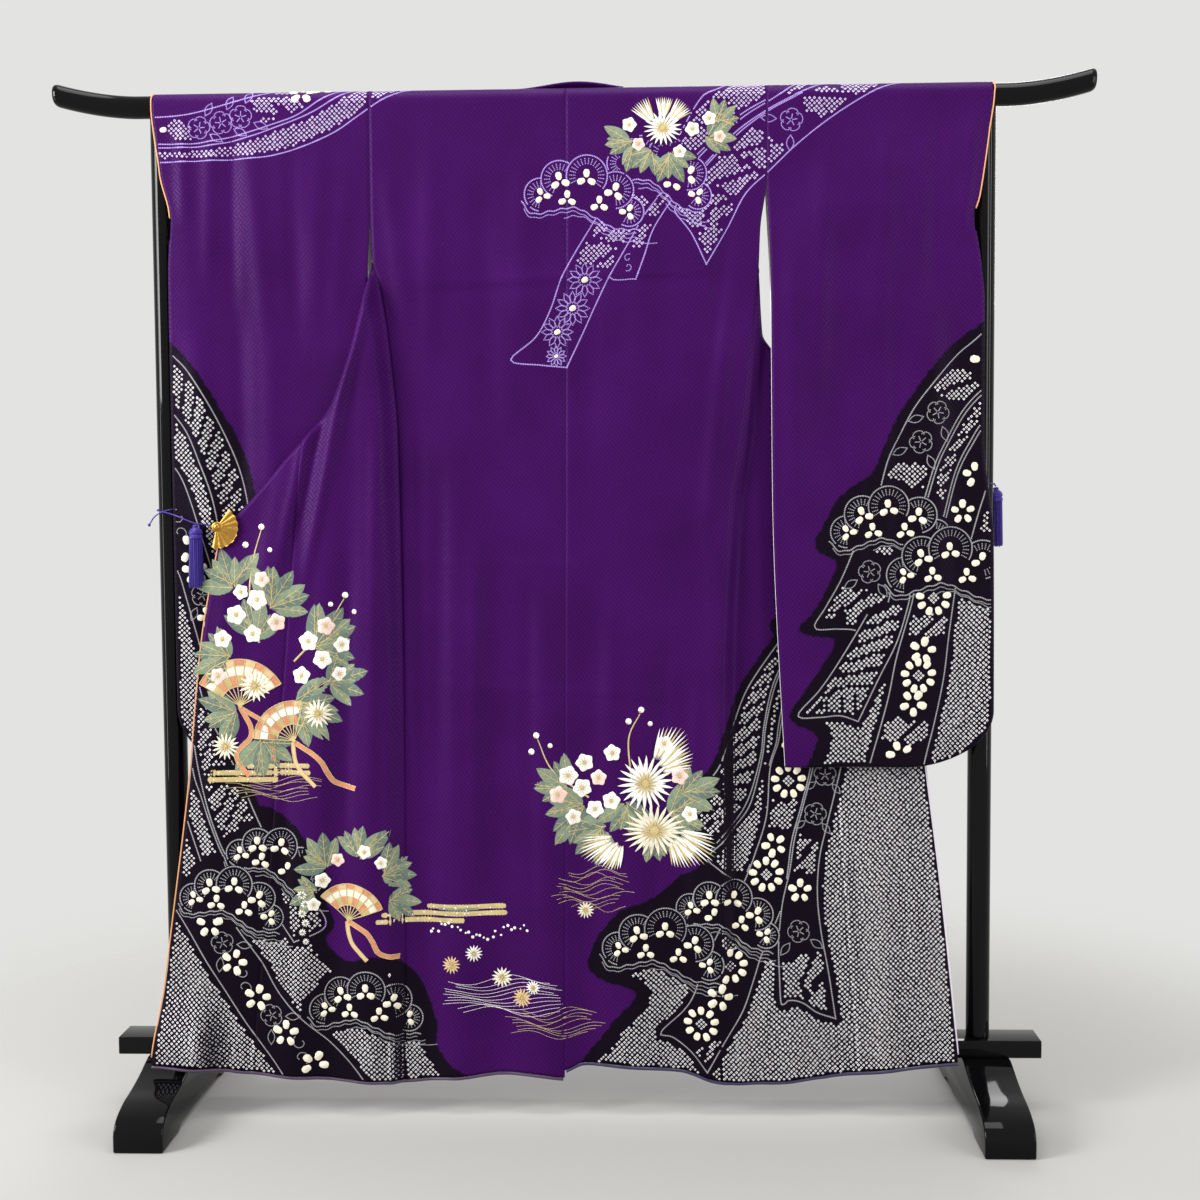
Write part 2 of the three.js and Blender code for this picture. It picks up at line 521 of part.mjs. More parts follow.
// The padded roll under the hem, from the centre back round to the front corner.
function hemRoll(name) {
  const way = sides[name];
  const drop = trim.hemRoll + 0.5;
  const points = [];
  const add = (x, y) => points.push([x, y, read(hemLine[name], 'x', 'z', x) - drop]);
  const [centre, seam] = [read(centreBack, 'z', 'x', 62) + way * 2.6, read(sideEdge[name], 'z', 'x', 62)];
  const corner = read(frontEdge[name], 'z', 'x', 80);
  for (const u of evenly(9)) { const x = mix(centre, seam, u); add(x, backY(x, 62)); }
  for (const u of evenly(13).slice(1)) { const x = mix(seam, corner, u); add(x, turnedY(name, x, 70)); }
  return tube(points, trim.hemRoll, 6, 44);
}

// The edge of the lining along the front, from the clip down to the hem.
function frontPiping(name) {
  const way = sides[name];
  const reach = trim.piping + 0.8;
  const points = [0.02, ...bodyRows(name).lower.slice(0, -1), 0.985].map((down) => {
    const [x, z] = frontSpot(name, down);
    return [x + way * reach, turnedY(name, x, z), z];
  });
  return tube(points, trim.piping, 5, 16);
}

// The edge of the lining round the wrist opening, over the bar from one layer to the other.
function wristPiping(name) {
  const way = sides[name];
  const reach = trim.piping + 0.8;
  const levels = [1425, 1457, 1510, 1560, 1604.5];
  const down = (layer) => levels.map((z) => {
    const x = outerX(name, layer, z);
    return [x + way * reach, sleeveY(name, layer, 1, x, z), z];
  });
  const top = turns.slice(1, -1).reverse().map((t) => overBar(outerX(name, 'near', 1640) + way * reach, t, -1, 0.9));
  const topFar = turns.slice(0, -1).map((t) => overBar(outerX(name, 'far', 1640) + way * reach, t, 1, 0.9));
  return tube([...down('near'), ...top, ...topFar, ...down('far').reverse().slice(0, 4)], trim.piping, 5, 26);
}

// ---------------------------------------------------------------- the stand

// A closed body through rings of points.
function loft(rings) {
  const count = rings[0].length;
  const spots = rings.flat().flatMap((p) => p);
  const index = [];
  for (let j = 0; j + 1 < rings.length; j += 1) {
    for (let i = 0; i < count; i += 1) {
      const [a, b] = [j * count + i, j * count + ((i + 1) % count)];
      index.push(a, b, b + count, a, b + count, a + count);
    }
  }
  const end = (rings.length - 1) * count;
  for (let i = 1; i + 1 < count; i += 1) index.push(0, i + 1, i, end, end + i, end + i + 1);
  const geometry = new THREE.BufferGeometry();
  geometry.setAttribute('position', new THREE.BufferAttribute(new Float32Array(spots), 3));
  geometry.setIndex(index);
  return geometry;
}

const barRise = (x) => bar.rise * Math.max(0, (Math.abs(x) - bar.riseFrom) / (bar.halfLength - bar.riseFrom)) ** 1.8;

function standBar() {
  const places = [-816, -813, -807, -790, -765, -735, -705, -680, -340, 0, 340, 680, 705, 735, 765, 790, 807, 813, 816];
  return loft(places.map((x) => {
    const inset = (bar.halfLength - Math.abs(x)) / bar.round;
    const share = inset >= 1 ? 1 : 0.72 + 0.28 * Math.sqrt(1 - (1 - inset) ** 2);
    return Array.from({ length: 20 }, (_, i) => {
      const angle = (i / 20) * Math.PI * 2;
      return [x, bar.halfDepth * share * Math.cos(angle), bar.z + barRise(x) + bar.halfHeight * share * Math.sin(angle)];
    });
  }));
}

const wasm = await Module();
wasm.setup();
function solid(geometry) {
  const bare = geometry.clone();
  bare.deleteAttribute('normal');
  bare.deleteAttribute('uv');
  const merged = mergeVertices(bare, 1e-4);
  return new wasm.Manifold(new wasm.Mesh({
    numProp: 3, vertProperties: new Float32Array(merged.attributes.position.array), triVerts: new Uint32Array(merged.index.array),
  }));
}
function geometryOf(manifold) {
  const mesh = manifold.getMesh();
  const geometry = new THREE.BufferGeometry();
  geometry.setAttribute('position', new THREE.BufferAttribute(mesh.vertProperties, 3));
  geometry.setIndex(new THREE.BufferAttribute(mesh.triVerts, 1));
  return geometry;
}

// A post stands on the board and its top is hollowed to take the bar.
function standPost(name) {
  const [from, to] = [board.top + 0.3, bar.z - bar.halfHeight + post.intoBar];
  const shaft = new THREE.CylinderGeometry(post.radius, post.radius, to - from, 28).rotateX(Math.PI / 2).translate(0, 0, (from + to) / 2);
  const seat = new THREE.CylinderGeometry(1, 1, post.radius * 4, 28).rotateZ(Math.PI / 2)
    .scale(1, bar.halfDepth + 0.3, bar.halfHeight + 0.3).translate(0, 0, bar.z);
  return geometryOf(solid(shaft).subtract(solid(seat))).translate(sides[name] * post.x, 0, 0);
}

function standBoard() {
  const { halfLength, halfDepth, bottom, top, edge } = board;
  const shape = new THREE.Shape([[-1, -1], [1, -1], [1, 1], [-1, 1]].map(([x, y]) => new THREE.Vector2(x * (halfLength - edge), y * (halfDepth - edge))));
  return new THREE.ExtrudeGeometry(shape, { depth: top - bottom - 2 * edge, bevelEnabled: true, bevelSegments: 1, bevelSize: edge, bevelThickness: edge })
    .translate(0, 0, bottom + edge);
}

// A foot in side view: a pad at each end, a shallow relief between them and a top that climbs to the board.
const footTop = [{ y: 210, z: 25 }, { y: 206, z: 36 }, { y: 190, z: 50 }, { y: 158, z: 61 }, { y: 120, z: 67 }, { y: 80, z: 76 }, { y: 55, z: 84 }, { y: 36, z: 89.7 }];
function standFoot(name) {
  const { width, edge, toe, padLength, relief } = foot;
  const shape = new THREE.Shape();
  const point = (y, z) => [y * ((toe - edge) / toe), mix(edge, 89.7 - edge, z / 89.7)];
  shape.moveTo(...point(-toe, 0));
  shape.lineTo(...point(-toe + padLength, 0));
  shape.lineTo(...point(-toe + padLength + 16, relief));
  shape.lineTo(...point(toe - padLength - 16, relief));
  shape.lineTo(...point(toe - padLength, 0));
  shape.lineTo(...point(toe, 0));
  footTop.forEach(({ y, z }) => shape.lineTo(...point(y, z)));
  [...footTop].reverse().forEach(({ y, z }) => shape.lineTo(...point(-y, z)));
  const side = new THREE.ExtrudeGeometry(shape, { depth: width - 2 * edge, bevelEnabled: true, bevelSegments: 2, bevelSize: edge, bevelThickness: edge });
  // The side view is drawn in Y and Z and pushed out along X.
  const turn = new THREE.Matrix4().makeBasis(new THREE.Vector3(0, 1, 0), new THREE.Vector3(0, 0, 1), new THREE.Vector3(1, 0, 0));
  return side.applyMatrix4(turn).translate(sides[name] * foot.x - width / 2 + edge, 0, 0);
}

// ---------------------------------------------------------------- clips, cords and tassels

const fan = { radius: 34, inner: 7, pleats: 9, pleatDepth: 1.6, thickness: 1, from: 54, to: -104 };
const clipHeight = 11;
const clipAt = {
  left: { edge: -549, z: 937, front: -52.8, back: -44.1 },
  right: { edge: 510, z: 930, front: -15.4, back: -7.1 },
};

// A bent strip that grips the folded edge, with a pleated fan on a boss.
function clip(name) {
  const way = sides[name];
  const { edge, z, front, back } = clipAt[name];
  const strip = (x0, x1, y0, y1) => new THREE.BoxGeometry(Math.abs(x1 - x0), y1 - y0, clipHeight).translate((x0 + x1) / 2, (y0 + y1) / 2, z + 2);
  const [inside, outside] = [edge - way * 11, edge + way * 13];
  let body = solid(strip(inside, outside, front, front + 1.3));
  body = body.add(solid(strip(inside, outside, back - 1.3, back)));
  body = body.add(solid(strip(outside - way * 1.3, outside, front, back)));
  const boss = [edge + way * 7, front + 0.5, z + 5];
  body = body.add(solid(new THREE.CylinderGeometry(4.6, 5.6, 6, 12).translate(boss[0], boss[1] - 2.5, boss[2])));
  const ring = new THREE.TorusGeometry(3.6, 1, 6, 12).translate(outside + way * 2.6, (front + back) / 2, z + 4);
  body = body.add(solid(ring));
  const spokes = fan.pleats * 2;
  const rows = [fan.inner, fan.radius];
  const leaf = new Sheet();
  leaf.join(rows.map((radius) => Array.from({ length: spokes + 1 }, (_, i) => {
    const angle = THREE.MathUtils.degToRad(mix(fan.from, fan.to, i / spokes));
    const scallop = radius === fan.radius && i % 2 ? 1.8 : 0;
    const lift = (i % 2 ? fan.pleatDepth : 0) * (radius / fan.radius);
    return leaf.point(boss[0] - way * (radius - scallop) * Math.cos(angle), boss[1] - 2.6 - lift, boss[2] + (radius - scallop) * Math.sin(angle));
  })));
  const blade = leaf.wall(fan.thickness);
  const hub = new THREE.CylinderGeometry(fan.inner + 1.2, fan.inner + 1.2, 2.2, 14).translate(boss[0], boss[1] - 2.6, boss[2]);
  return geometryOf(body.add(solid(blade)).add(solid(hub)));
}

const tasselAt = { left: { x: -591, y: -50.5, top: 946, bottom: 846 }, right: { x: 673, y: 23, top: 997, bottom: 902 } };
const tasselHead = [{ r: 0, down: 0 }, { r: 3, down: 0 }, { r: 4.4, down: 2.5 }, { r: 4.2, down: 4.5 }, { r: 8, down: 7 }, { r: 10.4, down: 11 },
  { r: 10.6, down: 14 }, { r: 9.6, down: 15 }, { r: 9.6, down: 16.5 }, { r: 10.8, down: 18 }, { r: 10.8, down: 22 }, { r: 0, down: 22 }];

// The head is turned, and the strands hang from it, each a thin bar with its root inside the head.
function tassel(name) {
  const { x, y, top, bottom } = tasselAt[name];
  const profile = [...tasselHead].reverse().map(({ r, down }) => new THREE.Vector2(r, -down));
  let body = solid(new THREE.LatheGeometry(profile, 18).rotateX(Math.PI / 2));
  const rings = [{ count: 1, root: 0, end: 0 }, { count: 7, root: 4.6, end: 5.4 }, { count: 15, root: 8.8, end: 11 }];
  for (const { count, root, end } of rings) {
    for (let i = 0; i < count; i += 1) {
      const angle = (i / count) * Math.PI * 2 + count;
      const length = top - bottom - 3 * ((i * 7) % 4) / 4;
      const at = (r, down) => new THREE.Vector3(r * Math.cos(angle), r * Math.sin(angle), -down);
      const curve = new THREE.LineCurve3(at(root, 20.5), at(end, length));
      const section = new THREE.Shape([[-1.3, -1.3], [1.3, -1.3], [1.3, 1.3], [-1.3, 1.3]].map(([a, b]) => new THREE.Vector2(a, b)));
      body = body.add(solid(new THREE.ExtrudeGeometry(section, { extrudePath: curve, steps: 1, bevelEnabled: false })));
    }
  }
  return geometryOf(body).translate(x, y, top);
}

// From the clip's ring past the tassel, once round the post, and on to a short tail.
const cordRoute = {
  left: [[-567.8, -48.4, 943.5], [-578, -50, 946.6], [-591, -50.5, 947.8], [-606, -48.5, 953.5], [-622, -43, 959.5], [-638, -31.5, 964], [-652, -19.8, 966.5],
    [-664, -9, 968.5], [-665.4, 2, 970], [-659, 15.5, 971.5], [-645, 21, 973], [-630.5, 15, 974], [-624.4, 2, 973], [-629, -13.4, 971], [-641, -20.6, 969.6],
    [-657, -17.2, 964.6], [-667.4, -15, 958], [-672, -16, 951], [-675, -17, 946]],
  right: [[528.8, -11, 936.6], [545, -7, 950], [575, -1, 970], [605, 4, 985], [624, 8, 994], [632, 17, 998], [645, 20.9, 1000], [660, 16.4, 1001],
    [666, 4, 1002], [661, -13, 1002], [647, -20.8, 1003], [630, -14.6, 1004.5], [624.2, 0, 1005.5], [630, 15.6, 1005], [645, 21.6, 1004.5], [660, 22.6, 1003.4], [669.5, 23, 1001.6], [673, 23, 998.1]],
};
const cord = (name) => tube(cordRoute[name], trim.cord, 8, 34);

// ---------------------------------------------------------------- the whole

const kimono = new THREE.Group();
kimono.name = 'furisode_on_stand';
function add(name, geometry, colour, roughness, metalness = 0) {
  const mesh = new THREE.Mesh(geometry, new THREE.MeshStandardMaterial({ color: colour, roughness, metalness }));
  mesh.name = name;
  kimono.add(mesh);
}

for (const name of ['left', 'right']) {
  add(`body_${name}`, bodyPanel(name), colours.purple, 0.55);
  add(`okumi_${name}`, okumi(name), colours.purple, 0.55);
  add(`sleeve_${name}`, sleevePanel(name), colours.purple, 0.55);
  add(`hem_roll_${name}`, hemRoll(name), colours.purple, 0.5);
  add(`front_piping_${name}`, frontPiping(name), colours.piping, 0.6);
  add(`wrist_piping_${name}`, wristPiping(name), colours.piping, 0.6);
  add(`stand_post_${name}`, standPost(name), colours.lacquer, 0.1);
  add(`stand_foot_${name}`, standFoot(name), colours.lacquer, 0.1);
  add(`clip_${name}`, clip(name), colours.gold, 0.3, 1);
  add(`cord_${name}`, cord(name), colours.cord, 0.6);
  add(`tassel_${name}`, tassel(name), colours.cord, 0.5);
}
add('collar', collarBand(), colours.purple, 0.55);
add('stand_bar', standBar(), colours.lacquer, 0.1);
add('stand_board', standBoard(), colours.lacquer, 0.1);

export default kimono;
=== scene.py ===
import math

import bpy
import numpy as np
from mathutils import Matrix, Vector


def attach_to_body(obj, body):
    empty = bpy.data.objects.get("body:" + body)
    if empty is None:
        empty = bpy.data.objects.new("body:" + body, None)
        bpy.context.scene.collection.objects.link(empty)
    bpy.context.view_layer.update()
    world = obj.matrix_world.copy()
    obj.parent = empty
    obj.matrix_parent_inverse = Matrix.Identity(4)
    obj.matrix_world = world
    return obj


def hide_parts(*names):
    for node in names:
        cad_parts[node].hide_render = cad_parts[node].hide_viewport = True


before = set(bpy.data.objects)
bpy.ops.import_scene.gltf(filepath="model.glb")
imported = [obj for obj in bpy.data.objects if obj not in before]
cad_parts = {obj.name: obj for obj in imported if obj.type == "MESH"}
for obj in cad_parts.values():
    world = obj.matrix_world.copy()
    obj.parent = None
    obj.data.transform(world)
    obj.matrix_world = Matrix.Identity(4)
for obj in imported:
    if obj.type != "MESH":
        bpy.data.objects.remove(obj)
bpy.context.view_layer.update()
mm = 0.001

# Furisode kimono on its stand. All sizes are millimetres until a mesh is made.
# X runs along the bar, the back of the kimono looks to -Y, Z is up from the floor.

kimono = {
    "cell": 5.6,          # size of the cloth's grid
    "thickness": 1.5,     # silk and lining together
    "seamGap": 0.1,
    "seamDip": 0.7,
    "foldGap": 6,
    "barZ": 1604.5,
    "top": 1640,          # where the tables end, above the bar
    "hemZ": 62,
    "overDepth": 20.6,    # where the cloth lies over the bar
    "overHeight": 18.8,
    "neckHalf": 85,
    "seamTop": {"left": 1354, "right": 1335},
    "okumiTip": {"left": 1080, "right": 1120},
    "clip": {"left": 937, "right": 930},
}
side = {"left": -1, "right": 1}
quarter = math.pi / 2 * math.sqrt((kimono["overDepth"] ** 2 + kimono["overHeight"] ** 2) / 2)
ridge = kimono["barZ"] + quarter      # pattern height of the ridge

# Outlines seen from the back: x at each height.
centreBack = {"z": [50, 1290, 1640], "x": [-17, -7, -5]}
sideEdge = {
    "left": {"z": [50, 666, 1077, 1201, 1327, 1354, 1450, 1640],
             "x": [-271, -268, -273, -283, -301, -310, -312.5, -312.5]},
    "right": {"z": [50, 681, 979, 1041, 1201, 1335, 1400, 1480, 1640],
              "x": [232, 234, 248, 259, 280, 294, 297, 307, 307]},
}
foldEdge = {
    "left": {"z": [937, 953, 1040, 1140, 1300, 1354], "x": [-549, -532, -452, -370, -321, -310]},
    "right": {"z": [930, 1020, 1120, 1215, 1238, 1335], "x": [510, 450, 380, 314, 300, 294]},
}
collarEdge = {
    "left": {"z": [937, 1000, 1080, 1140, 1354, 1560, 1640], "x": [-549, -442, -322, -228, -122, -86, -85]},
    "right": {"z": [930, 1020, 1140, 1335, 1560, 1640], "x": [510, 345, 214, 118, 86, 85]},
}
okumiSeam = {
    "left": {"z": [50, 526, 937, 1080], "x": [-517, -471, -434, -420]},
    "right": {"z": [50, 559, 930, 1120], "x": [450, 416, 386, 380]},
}
frontEdge = {
    "left": {"z": [76, 297, 523, 763, 937], "x": [-671, -640, -609, -583, -549]},
    "right": {"z": [80, 343, 559, 930], "x": [606, 581, 556, 510]},
}
hemLine = {
    "left": {"x": [-680, -615, -527, -430, -333, -267, -202, -101, -60, -17],
             "z": [91, 87, 75, 66, 60, 57, 62, 69, 68, 62]},
    "right": {"x": [-16, 15, 92, 168, 245, 302, 379, 455, 531, 610],
              "z": [74, 84, 81, 74, 56, 57, 64, 73, 81, 89]},
}
wristEdge = {
    "left": {"z": [500, 1227, 1340, 1390, 1423, 1492, 1515, 1550, 1600, 1640],
             "near": [-628, -628, -628, -626, -624, -640, -643, -649, -654, -654],
             "far": [-628, -628, -627, -620, -620, -619.5, -620, -631, -650, -654]},
    "right": {"z": [500, 914, 1070, 1285, 1340, 1418, 1438, 1515, 1550, 1600, 1640],
              "near": [658, 655, 639, 638, 634, 624, 630, 643, 648, 655, 656],
              "far": [658, 655, 639, 638, 632, 620, 620, 620, 631, 650, 656]},
}
innerEdge = {
    "left": {"z": [500, 950, 1030, 1140, 1190, 1240, 1300, 1354, 1390, 1450, 1640],
             "x": [-337, -352, -363, -361, -345, -329, -317.5, -316, -314.5, -312.5, -312.5]},
    "right": {"z": [500, 979, 1335, 1400, 1480, 1640], "x": [337, 315, 312, 310, 307, 307]},
}
sleeveShape = {
    "left": {"corner": 120, "cornerHeight": 95, "attach": 1432},
    "right": {"corner": 135, "cornerHeight": 86, "attach": 1457},
    "bottom": 561, "wristBottom": 1390, "forward": 13.4, "bagGap": 8, "rim": 3.4,
}

# How far in front of the bar's middle each layer hangs.
backDepth = {"z": [50, 600, 1000, 1350, 1440, 1640], "y": [46, 37, 28, 22, 20.6, 20.6]}
frontDepth = {
    "left": {"z": [50, 561, 937, 1354], "y": [58, 53, 50, 46]},
    "right": {"z": [50, 125, 400, 561, 1335], "y": [46, 42, 24, 14, 12]},
}
farDepth = {"z": [900, 1240, 1440, 1640], "y": [10, 12, 20.6, 20.6]}
crossing = {"left": (298, 318), "right": (282, 300)}
overFoot = {"fromX": 550, "toX": 610, "fromZ": 220, "toZ": 110, "forward": 24}

# Folds as (topX, topZ, hemX, width, depth): a ridge (+) or trough (-) that runs down to hemX.
backFolds = [
    (-250, 1200, -232, 26, -5), (-190, 1150, -185, 34, 7), (-105, 1000, -120, 30, -5),
    (-45, 900, -45, 32, 8), (30, 850, 22, 28, -7), (95, 1100, 95, 36, 4), (190, 1200, 165, 34, -5),
    (235, 1000, 215, 22, 6),
]
frontFolds = {
    "left": [(-318, 1330, -330, 26, 7), (-332, 1300, -395, 24, -4), (-350, 1250, -455, 30, 8),
             (-440, 1080, -545, 30, 5), (-520, 930, -610, 34, 6)],
    "right": [(285, 1000, 262, 20, 4), (300, 520, 335, 30, 6), (400, 520, 420, 30, -4),
              (460, 520, 490, 34, 6)],
}
sleeveFolds = {
    "left": [(-600, 1560, -590, 26, 4), (-545, 1560, -525, 24, -3), (-470, 1580, -450, 34, 3)],
    "right": [(360, 1500, 370, 28, 3), (430, 1500, 440, 34, -3), (520, 1450, 520, 40, 4),
              (600, 1400, 600, 30, -3)],
}


def ease(t):
    c = np.clip(t, 0, 1)
    return c * c * (3 - 2 * c)


def mix(a, b, t):
    return a + (b - a) * t


def read(table, at, key="z", column="x"):
    # a smooth curve through a table, with no overshoot between its rows
    keys = np.array(table[key], float)
    values = np.array(table[column], float)
    slope = np.diff(values) / np.diff(keys)
    first, second = slope[:-1], slope[1:]
    total = np.where(np.abs(first + second) < 1e-12, 1, first + second)
    inner = np.where(first * second <= 0, 0, 2 * first * second / total)
    tangent = np.concatenate([[slope[0]], inner, [slope[-1]]])
    at = np.clip(np.asarray(at, float), keys[0], keys[-1])
    i = np.clip(np.searchsorted(keys, at, side="left") - 1, 0, len(slope) - 1)
    step = keys[i + 1] - keys[i]
    t = (at - keys[i]) / step
    a = (2 * t ** 3 - 3 * t ** 2 + 1) * values[i] + (t ** 3 - 2 * t ** 2 + t) * step * tangent[i]
    b = (3 * t ** 2 - 2 * t ** 3) * values[i + 1] + (t ** 3 - t ** 2) * step * tangent[i + 1]
    return a + b


def foldDepth(folds, x, z):
    total = 0
    for topX, topZ, hemX, width, depth in folds:
        down = (topZ - z) / (topZ - 60)      # 60 is the hem
        off = (x - mix(topX, hemX, down)) / width
        total = total + np.where(down > 0, depth * ease((topZ - z) / 160) * mix(0.55, 1, down)
                                 * np.exp(-off * off), 0)
    return total


# Soft uneven creases on top of the folds, each a line from one place to another.
creases = {
    "back": [
        (-300, 1318, 300, 1340, 7, 1.2), (-300, 1303, 280, 1327, 9, -1.0),         # the tuck across the back
        (-290, 1520, -250, 1200, 15, 3.6), (-215, 1590, -228, 1100, 18, 3.4),
        (-140, 1520, -120, 1000, 20, -3.4), (-70, 1570, -78, 1200, 22, 3.4), (35, 1530, 28, 940, 22, -3.2),
        (120, 1580, 108, 1080, 22, 3.6), (262, 1560, 215, 1140, 15, -4.0), (250, 1320, 205, 860, 14, 4.4),
        (-262, 1200, -250, 420, 10, 4.6), (-205, 1100, -214, 380, 15, -4.4),
        (-150, 1000, -158, 300, 16, 4.6), (-70, 920, -66, 220, 14, -3.4), (60, 880, 58, 200, 15, 4.4),
        (150, 820, 118, 160, 13, -4.0), (196, 760, 186, 120, 11, 4.0), (-250, 690, 240, 668, 7, 0.8),
        (-250, 890, 60, 872, 8, 0.6),
    ],
    "frontLeft": [
        # the valley beside the side seam
        (-314, 1372, -384, 1140, 7, -3.0), (-358, 1230, -452, 850, 8, -3.0),
        (-296, 1360, -366, 1110, 9, 6.2), (-338, 1235, -434, 790, 11, 6.8), (-352, 1290, -418, 1050, 9, 4.4),
        (-388, 1190, -478, 800, 11, 5.6), (-424, 1130, -520, 700, 18, 3.0), (-300, 1180, -322, 420, 11, 4.0),
        (-470, 980, -520, 460, 16, 3.6), (-386, 860, -404, 200, 16, 4.4), (-545, 880, -585, 380, 12, 3.6),
        (-346, 960, -366, 300, 12, -3.4), (-440, 760, -476, 160, 14, -3.4),
    ],
    "frontRight": [(262, 900, 258, 500, 10, 1.4), (350, 480, 372, 150, 16, 2.0),
                   (430, 470, 446, 120, 14, -1.5), (520, 430, 540, 160, 16, 1.8)],
    "sleeveLeft": [
        (-612, 1602, -600, 1400, 11, 4.0), (-560, 1600, -566, 1280, 13, 4.2),
        (-530, 1600, -528, 1240, 10, -3.4), (-505, 1600, -470, 1160, 16, 4.0),
        (-436, 1590, -428, 1180, 13, -3.0), (-392, 1590, -400, 1220, 14, 2.8),
        (-350, 1500, -372, 1220, 14, 2.4), (-590, 1280, -560, 780, 20, 4.6),
        (-520, 1320, -516, 900, 15, -3.8), (-470, 1260, -476, 900, 16, 2.6),
    ],
    "sleeveRight": [
        (628, 1602, 606, 1360, 13, 4.0), (575, 1600, 560, 1260, 13, -3.4), (500, 1600, 470, 1140, 19, 4.2),
        (400, 1590, 380, 1060, 16, 3.8), (345, 1440, 352, 880, 16, 4.0), (560, 1320, 575, 720, 22, 4.4),
        (508, 1300, 512, 760, 15, -3.8), (450, 1220, 440, 620, 20, 4.2),
    ],
}


# Embroidered cloth is stiffer and lies flatter: x, z and reach of each place.
stiffer = [(-498, 690, 150), (-330, 352, 110), (84, 515, 130), (150, 1550, 90), (-110, 215, 110)]


def creaseDepth(rows, x, z):
    total = 0
    for x0, z0, x1, z1, width, depth in rows:
        dx, dz = x1 - x0, z1 - z0
        length = math.hypot(dx, dz)
        along = ((x - x0) * dx + (z - z0) * dz) / length
        off = ((x - x0) * dz - (z - z0) * dx) / length / width
        fade = ease(along / (0.25 * length)) * ease((length - along) / (0.35 * length))
        total = total + depth * fade * np.exp(-off * off)
    if rows in (creases["back"], creases["frontLeft"]):
        for px, pz, reach in stiffer:
            total = total * (1 - 0.8 * np.exp(-((x - px) ** 2 + (z - pz) ** 2) / reach ** 2))
    return total


def backY(x, z):
    return -(read(backDepth, z, "z", "y") + foldDepth(backFolds, x, z))


def turnedY(name, x, z):
    # the front where it is turned outwards: it leaves the side seam and comes to its own depth
    seam = read(sideEdge[name], z)
    out = np.abs(x) - np.abs(seam)
    forward = 0
    if name == "left":
        reach = ease((np.abs(x) - overFoot["fromX"]) / (overFoot["toX"] - overFoot["fromX"]))
        low = ease((overFoot["fromZ"] - z) / (overFoot["fromZ"] - overFoot["toZ"]))
        forward = overFoot["forward"] * reach * low
    own = -(read(frontDepth[name], z, "z", "y") + foldDepth(frontFolds[name], x, z) + forward)
    return mix(backY(seam, z), own, ease(out / 25))


def farY(name, x, z):
    # the front where it still hangs on the far side
    start, end = crossing[name]
    beside = ease((np.abs(x) - start) / (end - start)) * ease((1440 - z) / (1440 - kimono["seamTop"][name]))
    return mix(read(farDepth, z, "z", "y"), turnedY(name, x, z) + kimono["foldGap"], beside)


def outerX(name, layer, z):
    edge = read(wristEdge[name], z, "z", layer)
    shape = sleeveShape[name]
    below = np.clip((sleeveShape["bottom"] + shape["cornerHeight"] - z) / shape["cornerHeight"], 0, 1)
    return edge - side[name] * shape["corner"] * (1 - np.sqrt(1 - below ** 2))


def sleeveY(name, layer, u, x, z):
    # both layers hang from the bar; below the wrist they come together in front of the post
    attach = sleeveShape[name]["attach"]
    fold = foldDepth(sleeveFolds[name], x, z)
    if layer == "near":
        start = mix(attach, 1600, ease(u / 0.4))
        forward = sleeveShape["forward"] * ease((start - z) / 200)
        return -(kimono["overDepth"] + forward + fold * ease((start - z) / 150))
    start = mix(attach, 1535, ease(u / 0.6))
    end = mix(1230, 1405, ease(u / 0.6))
    gathered = ease((start - z) / (start - end))
    together = -(kimono["overDepth"] + sleeveShape["forward"] - sleeveShape["bagGap"])
    return mix(kimono["overDepth"], together, gathered) - fold * gathered


# Where a place of the pattern lies in space. Pattern heights run on over the bar: ridge is its top.

def overBar(x, h, lift=0):
    angle = np.clip(np.abs(h - ridge) / quarter, 0, 1) * math.pi / 2
    way = np.where(h > ridge, 1, -1)
    y = way * (kimono["overDepth"] + lift) * np.sin(angle)
    return x, y, kimono["barZ"] + (kimono["overHeight"] + lift) * np.cos(angle)


def hang(x, h, y, lift=0):
    # the hanging part at height h, or its arc over the bar
    _, by, bz = overBar(x, h, lift)
    low = h <= kimono["barZ"]
    return np.stack([np.broadcast_to(x, np.shape(h)) * 1.0, np.where(low, y - lift, by),
                     np.where(low, h, bz)], -1)


def nearBody(x, h, lift=0):
    # the back and the turned fronts as one skin
    x, h = np.broadcast_arrays(np.asarray(x, float), np.asarray(h, float))
    z = np.minimum(h, kimono["barZ"])
    y = backY(x, z) - creaseDepth(creases["back"], x, z)
    for name, way in side.items():
        seam = read(sideEdge[name], z)
        out = way * (x - seam)
        front = turnedY(name, x, z) - creaseDepth(creases["front" + name.title()], x, z) * ease(out / 25)
        fold = way * (read(foldEdge[name], z) - x)
        front = front + kimono["foldGap"] / 2 * ease(1 - fold / 5) * (z > kimono["clip"][name])
        seamY = creaseDepth(creases["back"], seam, z)
        front = front - seamY * ease(1 - out / 25)
        dip = kimono["seamDip"] * np.exp(-((x - read(okumiSeam[name], z)) / 3) ** 2)
        front = front + dip * (z < kimono["okumiTip"][name])
        y = np.where((out > 0) & (z < kimono["seamTop"][name]), front, y)
    y = y + kimono["seamDip"] * np.exp(-((x - read(centreBack, z)) / 3) ** 2)
    return hang(x, h, y, lift)


